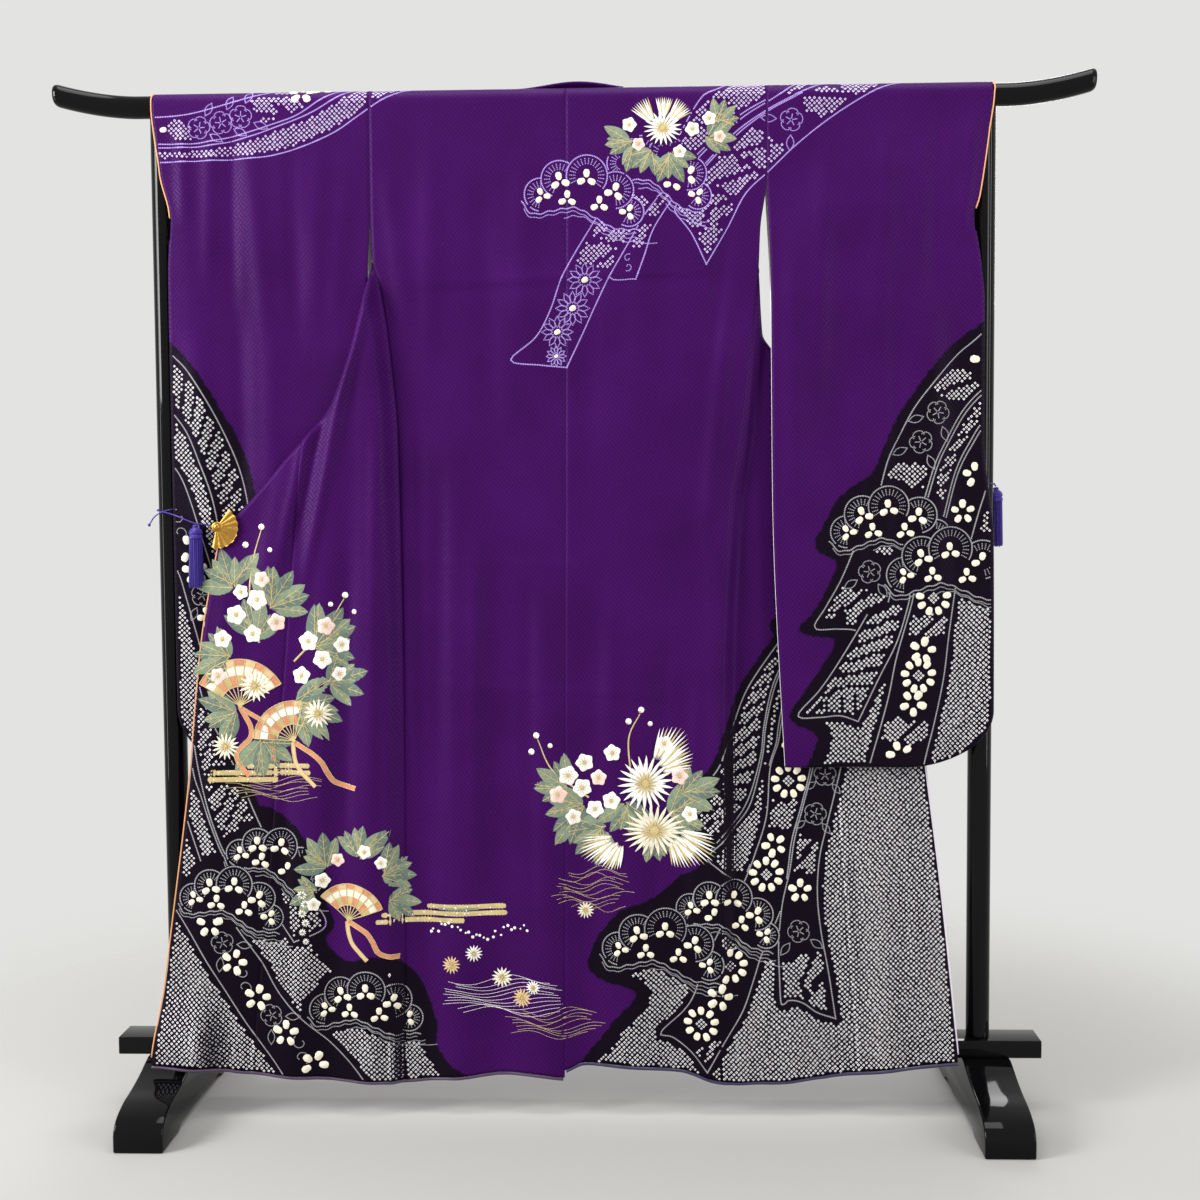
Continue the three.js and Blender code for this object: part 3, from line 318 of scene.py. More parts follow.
def nearSleeve(name):
    def place(x, h, lift=0):
        x, h = np.broadcast_arrays(np.asarray(x, float), np.asarray(h, float))
        z = np.minimum(h, kimono["barZ"])
        inner = read(innerEdge[name], z)
        u = np.clip((x - inner) / (outerX(name, "near", z) - inner), 0, 1)
        fade = ease((kimono["barZ"] - z) / 60) * ease((z - 575) / 60) * ease((1 - u) / 0.05) * ease(u / 0.05)
        y = sleeveY(name, "near", u, x, z) - creaseDepth(creases["sleeve" + name.title()], x, z) * fade
        return hang(x, h, y, lift)
    return place


class Cloth:
    # points with their pattern place, joined in rows
    def __init__(self):
        self.points = []
        self.pattern = []
        self.quads = []

    def row(self, xyz, px, ph):
        first = len(self.points)
        px, ph = np.broadcast_to(px, (len(xyz),)), np.broadcast_to(ph, (len(xyz),))
        self.points.extend(xyz.tolist())
        self.pattern.extend(zip(px.tolist(), ph.tolist()))
        return list(range(first, first + len(xyz)))

    def join(self, rows, flip):
        for low, high in zip(rows, rows[1:]):
            for a, b, c, d in zip(low, low[1:], high[1:], high):
                face = [v for k, v in enumerate((a, b, c, d)) if v not in (a, b, c, d)[:k]]
                if len(face) > 2:
                    self.quads.append(face[::-1] if flip else face)


def makeMesh(name, points, faces, materials):
    mesh = bpy.data.meshes.new(name)
    mesh.from_pydata([tuple(v * mm for v in p) for p in points], [], faces)
    mesh.validate()
    for material in materials:
        mesh.materials.append(material)
    mesh.polygons.foreach_set("use_smooth", [True] * len(mesh.polygons))
    piece = bpy.data.objects.new(name, mesh)
    bpy.context.collection.objects.link(piece)
    return piece


def paintPattern(mesh, pattern, canvas):
    # the pattern's own map, and how far each point lies from the dyed outlines
    pattern = np.array(pattern)
    corners = np.empty(len(mesh.loops), dtype=np.int32)
    mesh.loops.foreach_get("vertex_index", corners)
    cut = mesh.uv_layers.new(name="cut")
    cut.data.foreach_set("uv", (pattern[corners] * mm).ravel())
    values = dyed(canvas, pattern)
    for key in ("zone", "edge"):
        layer = mesh.attributes.new(key, "FLOAT", "POINT")
        layer.data.foreach_set("value", values[key].astype(np.float32))


def thicken(piece, thickness):
    # both faces and the edge of the cloth; the inner face is the lining
    shell = piece.modifiers.new("thickness", "SOLIDIFY")
    shell.thickness = thickness * mm
    shell.offset = 0
    shell.use_even_offset = False
    shell.material_offset = 1
    bpy.context.view_layer.objects.active = piece
    with bpy.context.temp_override(object=piece, active_object=piece, selected_objects=[piece]):
        bpy.ops.object.modifier_apply(modifier="thickness")


def bodyPanel(name):
    way = side[name]
    cell = kimono["cell"]
    half = kimono["seamGap"] / 2
    seamTop, okumiTip, clip = kimono["seamTop"][name], kimono["okumiTip"][name], kimono["clip"][name]
    cloth = Cloth()
    neckColumns, shoulderColumns = 16, 40
    total = neckColumns + shoulderColumns
    arc = np.linspace(ridge, kimono["barZ"], 7)
    down = np.concatenate([arc, np.linspace(kimono["barZ"], seamTop, 46)[1:],
                           np.linspace(seamTop, okumiTip, 50)[1:],
                           np.linspace(okumiTip, clip, 30)[1:]])
    lower = np.linspace(0, 1, int((clip - kimono["hemZ"]) / cell))[1:]

    def columns(z):
        c = float(read(centreBack, z)) + way * half
        s = float(read(sideEdge[name], z)) - way * half
        fitted = np.concatenate([np.linspace(c, way * kimono["neckHalf"], neckColumns + 1),
                                 np.linspace(way * kimono["neckHalf"], s, shoulderColumns + 1)[1:]])
        return mix(fitted, np.linspace(c, s, total + 1), ease((kimono["barZ"] - z) / 500))

    back = []
    for h in down:
        x = columns(min(h, kimono["barZ"]))
        back.append(cloth.row(nearBody(x, np.full(total + 1, h)), x, h))
    for share in lower:
        x = columns(mix(clip, kimono["hemZ"], share))
        z = mix(clip, read(hemLine[name], x, "x", "z"), share)
        back.append(cloth.row(nearBody(x, z), x, z))

    # the front on the far side, from the ridge to the fold
    far = [back[0][neckColumns:][::-1]]
    u = np.linspace(0, 1, shoulderColumns + 1)
    for h in (2 * ridge - arc)[1:]:
        x = mix(float(read(sideEdge[name], kimono["top"])) - way * half,
                float(read(collarEdge[name], kimono["top"])) + way * half, u)
        xyz = hang(x, np.full(len(x), 2 * ridge - h), -kimono["overDepth"])
        far.append(cloth.row(xyz * np.array([1, -1, 1]), x, 2 * ridge - h))

    def farRow(x, z):
        return np.stack([x, farY(name, x, z), np.full(len(x), z)], -1)

    for z in np.linspace(kimono["barZ"], seamTop, 32)[1:]:
        x = mix(float(read(sideEdge[name], z)) - way * half, float(read(collarEdge[name], z)) + way * half, u)
        far.append(cloth.row(farRow(x, z), x, z))

    # the front turned outwards starts as a point at the top of the side seam
    seamX = lambda z: float(read(sideEdge[name], z)) + way * half
    foldX = lambda z: float(read(foldEdge[name], z))
    tip = far[-1][0]
    tipX = seamX(seamTop) + way * 0.6
    cloth.points[tip] = [tipX, float(backY(tipX, seamTop)) + 0.4, seamTop]
    nearCount = 44
    near = [[tip] * (nearCount + 1)]
    for z in np.linspace(seamTop, okumiTip, 50)[1:]:
        x = np.linspace(seamX(z), foldX(z), nearCount + 1)
        if abs(foldX(z) - seamX(z)) > 14:
            # two columns close to the fold, so it turns in a small round
            x[-3:-1] = foldX(z) - way * np.array([5, 2.5])
            x[:-3] = np.linspace(seamX(z), foldX(z) - way * 8, nearCount - 1)[:nearCount - 2]
        row = cloth.row(nearBody(x, np.full(nearCount + 1, z)), x, z)
        near.append(row)
        collarX = float(read(collarEdge[name], z)) + way * half
        fx = np.linspace(foldX(z), collarX, shoulderColumns + 1)
        xyz = farRow(fx, z)
        fade = ease(1 - np.abs(fx - foldX(z)) / 6)
        xyz[:, 1] -= kimono["foldGap"] / 2 * fade
        points = cloth.row(xyz[1:], fx[1:], z)
        far.append([row[-1]] + points)
    okumiX = lambda z: float(read(okumiSeam[name], z)) - way * half
    for z in np.linspace(okumiTip, clip, 30)[1:]:
        x = np.linspace(seamX(z), okumiX(z), nearCount + 1)
        near.append(cloth.row(nearBody(x, np.full(nearCount + 1, z)), x, z))
    for share in lower:
        guide = mix(clip, kimono["hemZ"], share)
        x = np.linspace(seamX(guide), okumiX(guide), nearCount + 1)
        z = mix(clip, read(hemLine[name], x, "x", "z"), share)
        near.append(cloth.row(nearBody(x, z), x, z))
    for part in (back, far, near):
        cloth.join(part, way > 0)
    return cloth


def okumiPanel(name):
    way = side[name]
    half = kimono["seamGap"] / 2
    okumiTip, clip = kimono["okumiTip"][name], kimono["clip"][name]
    cloth = Cloth()
    count = 26
    foldX = lambda z: float(read(foldEdge[name], z))
    seamX = lambda z: float(read(okumiSeam[name], z)) + way * half
    collarX = lambda z: float(read(collarEdge[name], z)) + way * half
    top = okumiTip - 0.8
    tipX = foldX(top)
    tipY = float(turnedY(name, tipX, top)) + kimono["foldGap"] / 2
    tip = cloth.row(np.array([[tipX, tipY, top]]), tipX, top)[0]

    def farRow(z, first):
        x = np.linspace(foldX(z), collarX(z), count + 1)
        y = farY(name, x, z) - kimono["foldGap"] / 2 * ease(1 - np.abs(x - foldX(z)) / 6)
        return [first] + cloth.row(np.stack([x, y, np.full(len(x), z)], -1)[1:], x[1:], z)

    near = [[tip] * (count + 1)]
    far = [farRow(top, tip)]
    levels = np.linspace(top, clip, 32)[1:]
    for z in levels:
        x = np.linspace(seamX(z), foldX(z), count + 1)
        row = cloth.row(nearBody(x, np.full(count + 1, z)), x, z)
        near.append(row)
        far.append([row[-1]] * (count + 1) if z == levels[-1] else farRow(z, row[-1]))
    for share in np.linspace(0, 1, int((clip - kimono["hemZ"]) / kimono["cell"]))[1:]:
        guide = mix(clip, kimono["hemZ"], share)
        edgeX = float(read(frontEdge[name], mix(clip, 80, share)))
        x = np.linspace(seamX(guide), edgeX, count + 1)
        z = mix(clip, read(hemLine[name], x, "x", "z"), share)
        near.append(cloth.row(nearBody(x, z), x, z))
    for part in (far, near):
        cloth.join(part, way > 0)
    return cloth


def sleevePanel(name):
    way = side[name]
    cloth = Cloth()
    half = kimono["seamGap"] / 2
    u = np.concatenate([np.linspace(0, 0.94, 54), np.linspace(0.94, 1, 7)[1:]])
    arc = np.linspace(ridge, kimono["barZ"], 7)
    bottom, wrist = sleeveShape["bottom"], sleeveShape["wristBottom"]
    levels = np.concatenate([np.linspace(kimono["barZ"], wrist, 40)[1:], np.linspace(wrist, 660, 130)[1:],
                             np.linspace(660, bottom + 14, 18)[1:],
                             bottom + 14 * (1 - np.sin(np.linspace(0, math.pi / 2, 9)))[1:]])
    innerX = lambda z: float(read(innerEdge[name], z)) + way * half
    place = nearSleeve(name)
    ridgeRow = None
    sides = []
    for layer in ("near", "far"):
        rows = []
        for k, h in enumerate(arc):
            if k == 0 and ridgeRow:
                rows.append(ridgeRow)
                continue
            x = mix(innerX(kimono["top"]), float(outerX(name, layer, 1625 - 20 * k / 6)), u)
            xyz = hang(x, np.full(len(x), h), -kimono["overDepth"])
            if layer == "far":
                xyz = xyz * np.array([1, -1, 1])
            rows.append(cloth.row(xyz, x, h))
            ridgeRow = ridgeRow or rows[0]
        for z in levels:
            x = mix(innerX(z), float(outerX(name, layer, z)), u)
            if layer == "near":
                rows.append(cloth.row(place(x, np.full(len(x), z)), x, z))
            else:
                y = sleeveY(name, layer, u, x, z)
                rows.append(cloth.row(np.stack([x, y, np.full(len(x), z)], -1), x, z))
        sides.append(rows)
    near, far = sides
    cloth.join(near, way > 0)
    cloth.join([row[::-1] for row in far], way > 0)

    # the closed edge of the bag: down from the wrist, round the corner and along the bottom
    last = len(near) - 1
    start = len(arc) + 38
    path = [(near[j][-1], far[j][-1]) for j in range(start, last + 1)]
    path += [(near[last][i], far[last][i]) for i in range(len(u) - 2, -1, -1)]
    pairs = np.array([[cloth.points[a], cloth.points[b]] for a, b in path])
    middle = pairs.mean(1)
    run = np.roll(middle, -1, 0) - np.roll(middle, 1, 0)
    run[0], run[-1] = middle[1] - middle[0], middle[-1] - middle[-2]
    out = np.stack([-way * run[:, 2], np.zeros(len(run)), way * run[:, 0]], -1)
    out /= np.linalg.norm(out, axis=1, keepdims=True)
    gap = np.abs(pairs[:, 0, 1] - pairs[:, 1, 1]) / sleeveShape["bagGap"]
    strips = [[a for a, b in path]]
    for share in (0.15, 0.5, 0.85):
        bulge = sleeveShape["rim"] * math.sin(math.pi * share) ** 0.6
        spot = pairs[:, 0] * (1 - share) + pairs[:, 1] * share + out * (bulge * gap)[:, None]
        patternPlace = np.array([cloth.pattern[a] for a, b in path])
        first = len(cloth.points)
        cloth.points.extend(spot.tolist())
        cloth.pattern.extend(map(tuple, patternPlace.tolist()))
        strips.append(list(range(first, first + len(path))))
    strips.append([b for a, b in path])
    cloth.join([list(row) for row in strips], way < 0)
    return cloth


# Dark dyed grounds, as outlines of (x, height).
darkGrounds = {
    "body": [
        [(720, 810), (345, 800), (318, 752), (284, 698), (256, 652), (238, 616), (228, 575), (212, 546),
         (190, 528), (170, 510), (160, 488), (178, 464), (196, 440), (204, 418), (190, 396), (166, 386),
         (154, 374), (126, 352), (94, 340), (66, 326), (46, 300), (28, 272), (20, 236), (46, 216), (80, 208),
         (98, 196), (82, 176), (58, 150), (38, 122), (16, 96), (4, 70), (-4, 20), (720, 20)],
        [(-720, 830), (-640, 820), (-608, 738), (-586, 684), (-560, 646), (-536, 602), (-513, 552),
         (-500, 507), (-474, 497), (-448, 476), (-425, 447), (-410, 416), (-396, 386), (-392, 342),
         (-399, 304), (-386, 271), (-356, 252), (-330, 260), (-284, 254), (-250, 226), (-232, 188),
         (-218, 142), (-222, 116), (-202, 86), (-178, 30), (-720, 20)],
    ],
    "sleeveRight": [
        [(740, 1330), (700, 1296), (656, 1265), (636, 1248), (604, 1228), (566, 1190), (538, 1152),
         (510, 1112), (489, 1067), (470, 1022), (443, 1003), (414, 978), (396, 944), (378, 912), (388, 894),
         (414, 880), (402, 848), (380, 806), (352, 774), (382, 764), (412, 758), (396, 726), (366, 682),
         (340, 636), (378, 612), (384, 600), (362, 546), (348, 490), (760, 480)],
    ],
    "sleeveLeft": [
        [(-760, 1290), (-700, 1262), (-653, 1252), (-628, 1228), (-606, 1206), (-580, 1172), (-553, 1130),
         (-530, 1090), (-511, 1046), (-500, 1004), (-494, 952), (-498, 874), (-486, 780), (-470, 680),
         (-440, 560), (-440, 490), (-760, 490)],
    ],
}

# Ribbons lie on the cloth in this order. Each has two edges and what it holds along its length:
# k tied dots, b blocks of dots, f a blossom, w a wreath, o a stitched flower, m a stitched daisy, c curls;
# or dense, which is dots all over.
overShoulder = [
    ([(460, 1668), (391, 1624), (355, 1604), (309, 1580), (260, 1544), (210, 1494), (178, 1448), (164, 1430),
      (190, 1394), (213, 1346)],
     [(600, 1668), (508, 1626), (463, 1604), (409, 1571), (355, 1530), (310, 1488), (274, 1454), (246, 1402),
      (213, 1346)], "fkkokkkk"),
]
ribbons = {
    "body": [
        # lower right
        ([(330, 760), (278, 684), (254, 624), (243, 592), (228, 556), (198, 520), (172, 492), (170, 470),
          (188, 464), (206, 448), (216, 428)],
         [(352, 760), (318, 690), (303, 624), (298, 578), (286, 530), (273, 496), (256, 470), (234, 448),
          (216, 428)], "bbbbbbbb"),
        ([(354, 760), (322, 690), (306, 624), (301, 578), (290, 528), (278, 492), (258, 464), (238, 442),
          (212, 416), (228, 398), (266, 368)],
         [(368, 760), (340, 690), (326, 624), (322, 594), (310, 552), (304, 478), (286, 420), (266, 368)],
         "dense"),
        ([(372, 760), (344, 690), (330, 624), (325, 594), (312, 552), (306, 478), (288, 420), (268, 370),
          (236, 312), (206, 248), (190, 197), (172, 168), (136, 134), (156, 126), (186, 102), (210, 72)],
         [(400, 760), (392, 690), (384, 624), (377, 560), (363, 500), (346, 440), (339, 390), (330, 338),
          (314, 298), (296, 256), (284, 218), (266, 168), (234, 114), (210, 72)], "kkkfwkfwfkwfwk"),
        ([(404, 760), (394, 690), (388, 624), (381, 560), (366, 500), (350, 440), (342, 390), (330, 338),
          (324, 278), (325, 222), (328, 180), (340, 187), (362, 182), (385, 166), (414, 156)],
         [(450, 760), (442, 690), (434, 624), (425, 560), (413, 508), (401, 460), (390, 412), (386, 356),
          (391, 298), (403, 230), (414, 156)], "okkookfokk"),
        # lower left
        ([(-630, 800), (-610, 730), (-602, 662), (-598, 588), (-584, 518), (-562, 446), (-544, 408)],
         [(-612, 800), (-598, 730), (-582, 664), (-560, 616), (-528, 548), (-504, 490), (-480, 436)],
         "bbbbbbbbbb"),
        ([(-660, 640), (-630, 552), (-614, 482), (-592, 414)],
         [(-610, 640), (-602, 556), (-588, 512), (-565, 444), (-556, 422)], "dense"),
        ([(-640, 344), (-609, 294), (-578, 240), (-544, 186), (-508, 130), (-470, 78), (-446, 40)],
         [(-536, 306), (-498, 252), (-472, 204), (-428, 154), (-388, 118), (-352, 82), (-320, 40)],
         "fofcfofcff"),
        ([(-487, 372), (-470, 322), (-444, 284)], [(-430, 372), (-404, 338), (-396, 306), (-444, 284)],
         "dense"),
        # over the shoulders
        *overShoulder,
        ([(386, 1668), (345, 1620), (318, 1600), (273, 1573), (228, 1536), (200, 1509)],
         [(452, 1668), (386, 1623), (350, 1604), (306, 1581), (257, 1547), (207, 1496)], "dense"),
        ([(276, 1668), (238, 1622), (208, 1604), (182, 1564), (164, 1528)],
         [(380, 1668), (336, 1618), (314, 1602), (268, 1576), (224, 1538), (196, 1512)], "dense"),
        ([(154, 1465), (116, 1430), (90, 1376), (62, 1328), (103, 1324)],
         [(180, 1474), (160, 1447), (131, 1402), (117, 1362), (103, 1324)], "kkc"),
        ([(76, 1475), (34, 1408), (8, 1366), (-14, 1326), (-31, 1278), (-54, 1236), (-94, 1200), (-46, 1192),
          (-6, 1188)],
         [(136, 1448), (115, 1420), (94, 1384), (62, 1330), (42, 1290), (18, 1238), (-6, 1188)], "kkkmmmm"),
        ([(-420, 1585), (-374, 1605), (-339, 1626), (-304, 1650)],
         [(-411, 1538), (-366, 1558), (-331, 1581), (-296, 1604), (-262, 1622), (-212, 1650)], "dense"),
    ],
    "sleeveRight": [
        *overShoulder,
        ([(386, 1668), (345, 1620), (318, 1600), (273, 1573), (228, 1536)],
         [(452, 1668), (386, 1623), (350, 1604), (306, 1581), (257, 1547)], "dense"),
        ([(700, 1298), (636, 1232), (601, 1202), (566, 1162), (534, 1120), (511, 1076), (494, 1040),
          (482, 996)],
         [(704, 1194), (648, 1155), (612, 1119), (584, 1070), (566, 1033), (550, 980)], "ffkook"),
        ([(708, 1190), (652, 1151), (616, 1115), (588, 1067), (570, 1030), (554, 977)],
         [(722, 1168), (648, 1106), (620, 1066), (598, 1020), (580, 952)], "bbbbb"),
        ([(726, 1165), (652, 1102), (624, 1062), (602, 1017), (584, 950)],
         [(724, 1090), (658, 1016), (640, 975), (620, 904)], "kwff"),
        ([(443, 905), (421, 852), (398, 811), (380, 778), (416, 776), (444, 774), (469, 760)],
         [(503, 872), (494, 816), (469, 760)], "okk"),
        ([(462, 798), (421, 728), (389, 681), (354, 640), (389, 637), (421, 639), (449, 630)],
         [(528, 834), (526, 815), (508, 755), (481, 699), (449, 630)], "bbbbb"),
        ([(535, 844), (531, 815), (508, 732), (494, 662), (467, 562), (454, 516)],
         [(600, 844), (590, 768), (582, 699), (568, 630), (553, 569), (543, 516)], "wkfwfkff"),
    ],
    "sleeveLeft": [
        ([(-700, 1584), (-650, 1584), (-598, 1588), (-540, 1602), (-497, 1615), (-461, 1630), (-426, 1655)],
         [(-700, 1542), (-652, 1542), (-586, 1542), (-520, 1554), (-467, 1570), (-427, 1584), (-392, 1606),
          (-357, 1628), (-321, 1655)], "ffkoookkff"),
        ([(-700, 1536), (-647, 1536), (-577, 1537), (-511, 1549), (-463, 1565), (-410, 1585), (-374, 1605),
          (-339, 1628), (-304, 1655)],
         [(-700, 1514), (-644, 1513), (-586, 1514), (-529, 1516), (-468, 1521), (-411, 1538), (-366, 1558),
          (-331, 1581), (-296, 1604), (-262, 1622), (-212, 1655)], "dense"),
        ([(-696, 1198), (-656, 1158), (-627, 1121), (-605, 1090), (-586, 1044), (-568, 992), (-556, 930)],
         [(-680, 1280), (-654, 1244), (-627, 1213), (-603, 1188), (-576, 1146), (-550, 1095), (-527, 1040),
          (-513, 984), (-506, 925)], "bbbbbbbbbb"),
        ([(-698, 1110), (-658, 1070), (-625, 1034), (-607, 998), (-585, 927), (-566, 858), (-554, 790)],
         [(-696, 1198), (-656, 1158), (-627, 1121), (-605, 1090), (-586, 1044), (-568, 992), (-556, 930)],
         "dense"),
        ([(-699, 994), (-661, 942), (-626, 874), (-611, 826), (-589, 744), (-576, 690)],
         [(-698, 1110), (-658, 1070), (-625, 1034), (-607, 998), (-585, 927), (-566, 858), (-554, 790)],
         "ccfcffoff"),
    ],
}

# Pine crowns: middle of the foot, width and tilt.
crowns = {
    "body": [(238, 296, 170, -16), (138, 238, 194, -6), (-480, 388, 160, -18), (-548, 322, 168, -10),
             (-334, 148, 178, -3), (134, 1462, 172, -19), (20, 1424, 188, -7)],
    "sleeveRight": [(498, 908, 184, 3), (592, 836, 200, 1)],
    "sleeveLeft": [],
}
# A crown as shares of its width: its lobes from back to front, and the wavy line of its foot.
lobes = [(-0.363, 0.13, 0.135), (0.385, 0.07, 0.12), (-0.225, 0.275, 0.15), (0.25, 0.235, 0.15),
         (0.0, 0.325, 0.17)]
footLine = [(-0.5, 0.05), (-0.4, -0.035), (-0.22, 0.015), (-0.05, 0.055), (0.1, 0.0), (0.28, -0.075),
            (0.5, -0.07)]


def smoothLine(points, step=4.0, parts=24):
    # a rounded line through points of the pattern or of space, in even steps
    points = np.array(points, float)
    ends = np.vstack([2 * points[0] - points[1], points, 2 * points[-1] - points[-2]])
    line = []
    for a, b, c, d in zip(ends, ends[1:], ends[2:], ends[3:]):
        for t in np.linspace(0, 1, parts)[:-1]:
            square, cube = (2 * a - 5 * b + 4 * c - d) * t ** 2, (3 * b - a - 3 * c + d) * t ** 3
            line.append(0.5 * (2 * b + (c - a) * t + square + cube))
    line.append(points[-1])
    return evenLine(np.array(line), step)


def evenLine(line, step):
    length = np.concatenate([[0], np.cumsum(np.linalg.norm(np.diff(line, axis=0), axis=1))])
    places = np.linspace(0, length[-1], max(3, int(round(length[-1] / step)) + 1))
    return np.stack([np.interp(places, length, line[:, k]) for k in range(line.shape[1])], -1)


def turned(points, angle, middle):
    c, s = math.cos(angle), math.sin(angle)
    return np.asarray(points, float) @ np.array([[c, s], [-s, c]]) + np.asarray(middle, float)


def crownOutline(x, h, width, tilt):
    # the far side of the lobes seen from the middle of the foot, closed by the foot
    middle = np.array([0, 0.06])
    top = []
    for angle in np.linspace(math.radians(-14), math.radians(188), 90):
        way = np.array([math.cos(angle), math.sin(angle)])
        reach = 0.05
        for lx, ly, r in lobes:
            along = (np.array([lx, ly]) - middle) @ way
            off = (lx - middle[0]) * way[1] - (ly - middle[1]) * way[0]
            if abs(off) < r:
                reach = max(reach, along + math.sqrt(r * r - off * off))
        top.append(middle + way * reach)
    outline = np.vstack([top, smoothLine(footLine, 0.03)[1:-1]])
    return turned(outline * width, math.radians(tilt), (x, h))


def ribbonShape(left, right, holds):
    a, b = smoothLine(left, 7), smoothLine(right, 7)
    share = np.linspace(0, 1, 80)
    pick = lambda line: np.stack([np.interp(share, np.linspace(0, 1, len(line)), line[:, k])
                                  for k in (0, 1)], -1)
    # the middle line joins like heights, so a slanting end doesn't bend it
    middle = (pick(a) + pick(b)) / 2
    return {"outline": np.vstack([a, b[::-1]]), "kind": "ribbon", "edges": (a, b),
            "middle": evenLine(middle, 4), "holds": holds}


shapes = {}
for canvas in ribbons:
    found = [ribbonShape(left, right, holds) for left, right, holds in ribbons[canvas]]
    found += [{"outline": crownOutline(*row), "kind": "crown", "row": row, "holds": ""}
              for row in crowns[canvas]]
    shapes[canvas] = found


def signedDistance(outline, places, reach):
    # distance to the outline, plus inside; places further than reach get -reach
    found = np.full(len(places), -float(reach))
    low, high = outline.min(0) - reach, outline.max(0) + reach
    near = np.flatnonzero(((places > low) & (places < high)).all(1))
    a = outline
    b = np.roll(outline, -1, 0)
    for part in np.array_split(near, max(1, len(near) // 4000)):
        p = places[part][:, None, :]
        ab = (b - a)[None]
        t = np.clip(((p - a) * ab).sum(-1) / np.maximum((ab * ab).sum(-1), 1e-9), 0, 1)
        gap = np.sqrt(((p - a - ab * t[..., None]) ** 2).sum(-1).min(1))
        crosses = (a[None, :, 1] > p[..., 1]) != (b[None, :, 1] > p[..., 1])
        rise = np.where(np.abs(ab[..., 1]) < 1e-9, 1e-9, ab[..., 1])
        crossX = a[None, :, 0] + (p[..., 1] - a[None, :, 1]) * ab[..., 0] / rise
        inside = (crosses & (p[..., 0] < crossX)).sum(1) % 2 == 1
        found[part] = np.where(inside, gap, -gap)
    return np.maximum(found, -reach)


def groundDepth(canvas, places):
    zone = np.full(len(places), -80.0)
    for ground in darkGrounds[canvas]:
        zone = np.maximum(zone, signedDistance(smoothLine(ground + ground[:1], 12), places, 80))
    return zone


def dyed(canvas, places):
    # zone is how deep a place lies in the dark ground, edge how near it is to a stitched line
    zone = groundDepth(canvas, places)
    edge = np.full(len(places), 60.0)
    covered = np.zeros(len(places), bool)
    for shape in reversed(shapes[canvas]):
        gap = signedDistance(shape["outline"], places, 60)
        edge = np.where(covered, edge, np.minimum(edge, np.abs(gap)))
        covered |= gap > 0
        zone = np.where(zone > -36, np.maximum(zone, np.minimum(gap + 13, 60)), zone)
    return {"zone": zone, "edge": edge}


def onCloth(canvas, places, margin=2.0):
    x, h = places[:, 0], places[:, 1]
    z = np.minimum(h, kimono["barZ"])
    if canvas == "body":
        good = (h < ridge + quarter * 0.8)
        for name, way in side.items():
            seamTop, clip = kimono["seamTop"][name], kimono["clip"][name]
            limit = np.where(z > seamTop, read(sideEdge[name], z),
                             np.where(z > clip, read(foldEdge[name], z), read(frontEdge[name], z)))
            here = way * (x + 12) > 0
            good &= ~here | ((way * (limit - x) > margin) & (h > read(hemLine[name], x, "x", "z") + margin))
            good &= ~((z < seamTop) & (np.abs(x - read(sideEdge[name], z)) < 0.8))
        return good
    name = canvas[6:].lower()
    way = side[name]
    inner, outer = read(innerEdge[name], z), outerX(name, "near", z)
    beside = (way * (x - inner) > margin) & (way * (outer - x) > margin)
    return beside & (h > sleeveShape["bottom"] + margin) & (h < ridge + quarter * 0.8)


# Raised work on the cloth: tied dots, petals and stitching.

surfaces = {"body": nearBody, "sleeveRight": nearSleeve("right"), "sleeveLeft": nearSleeve("left")}


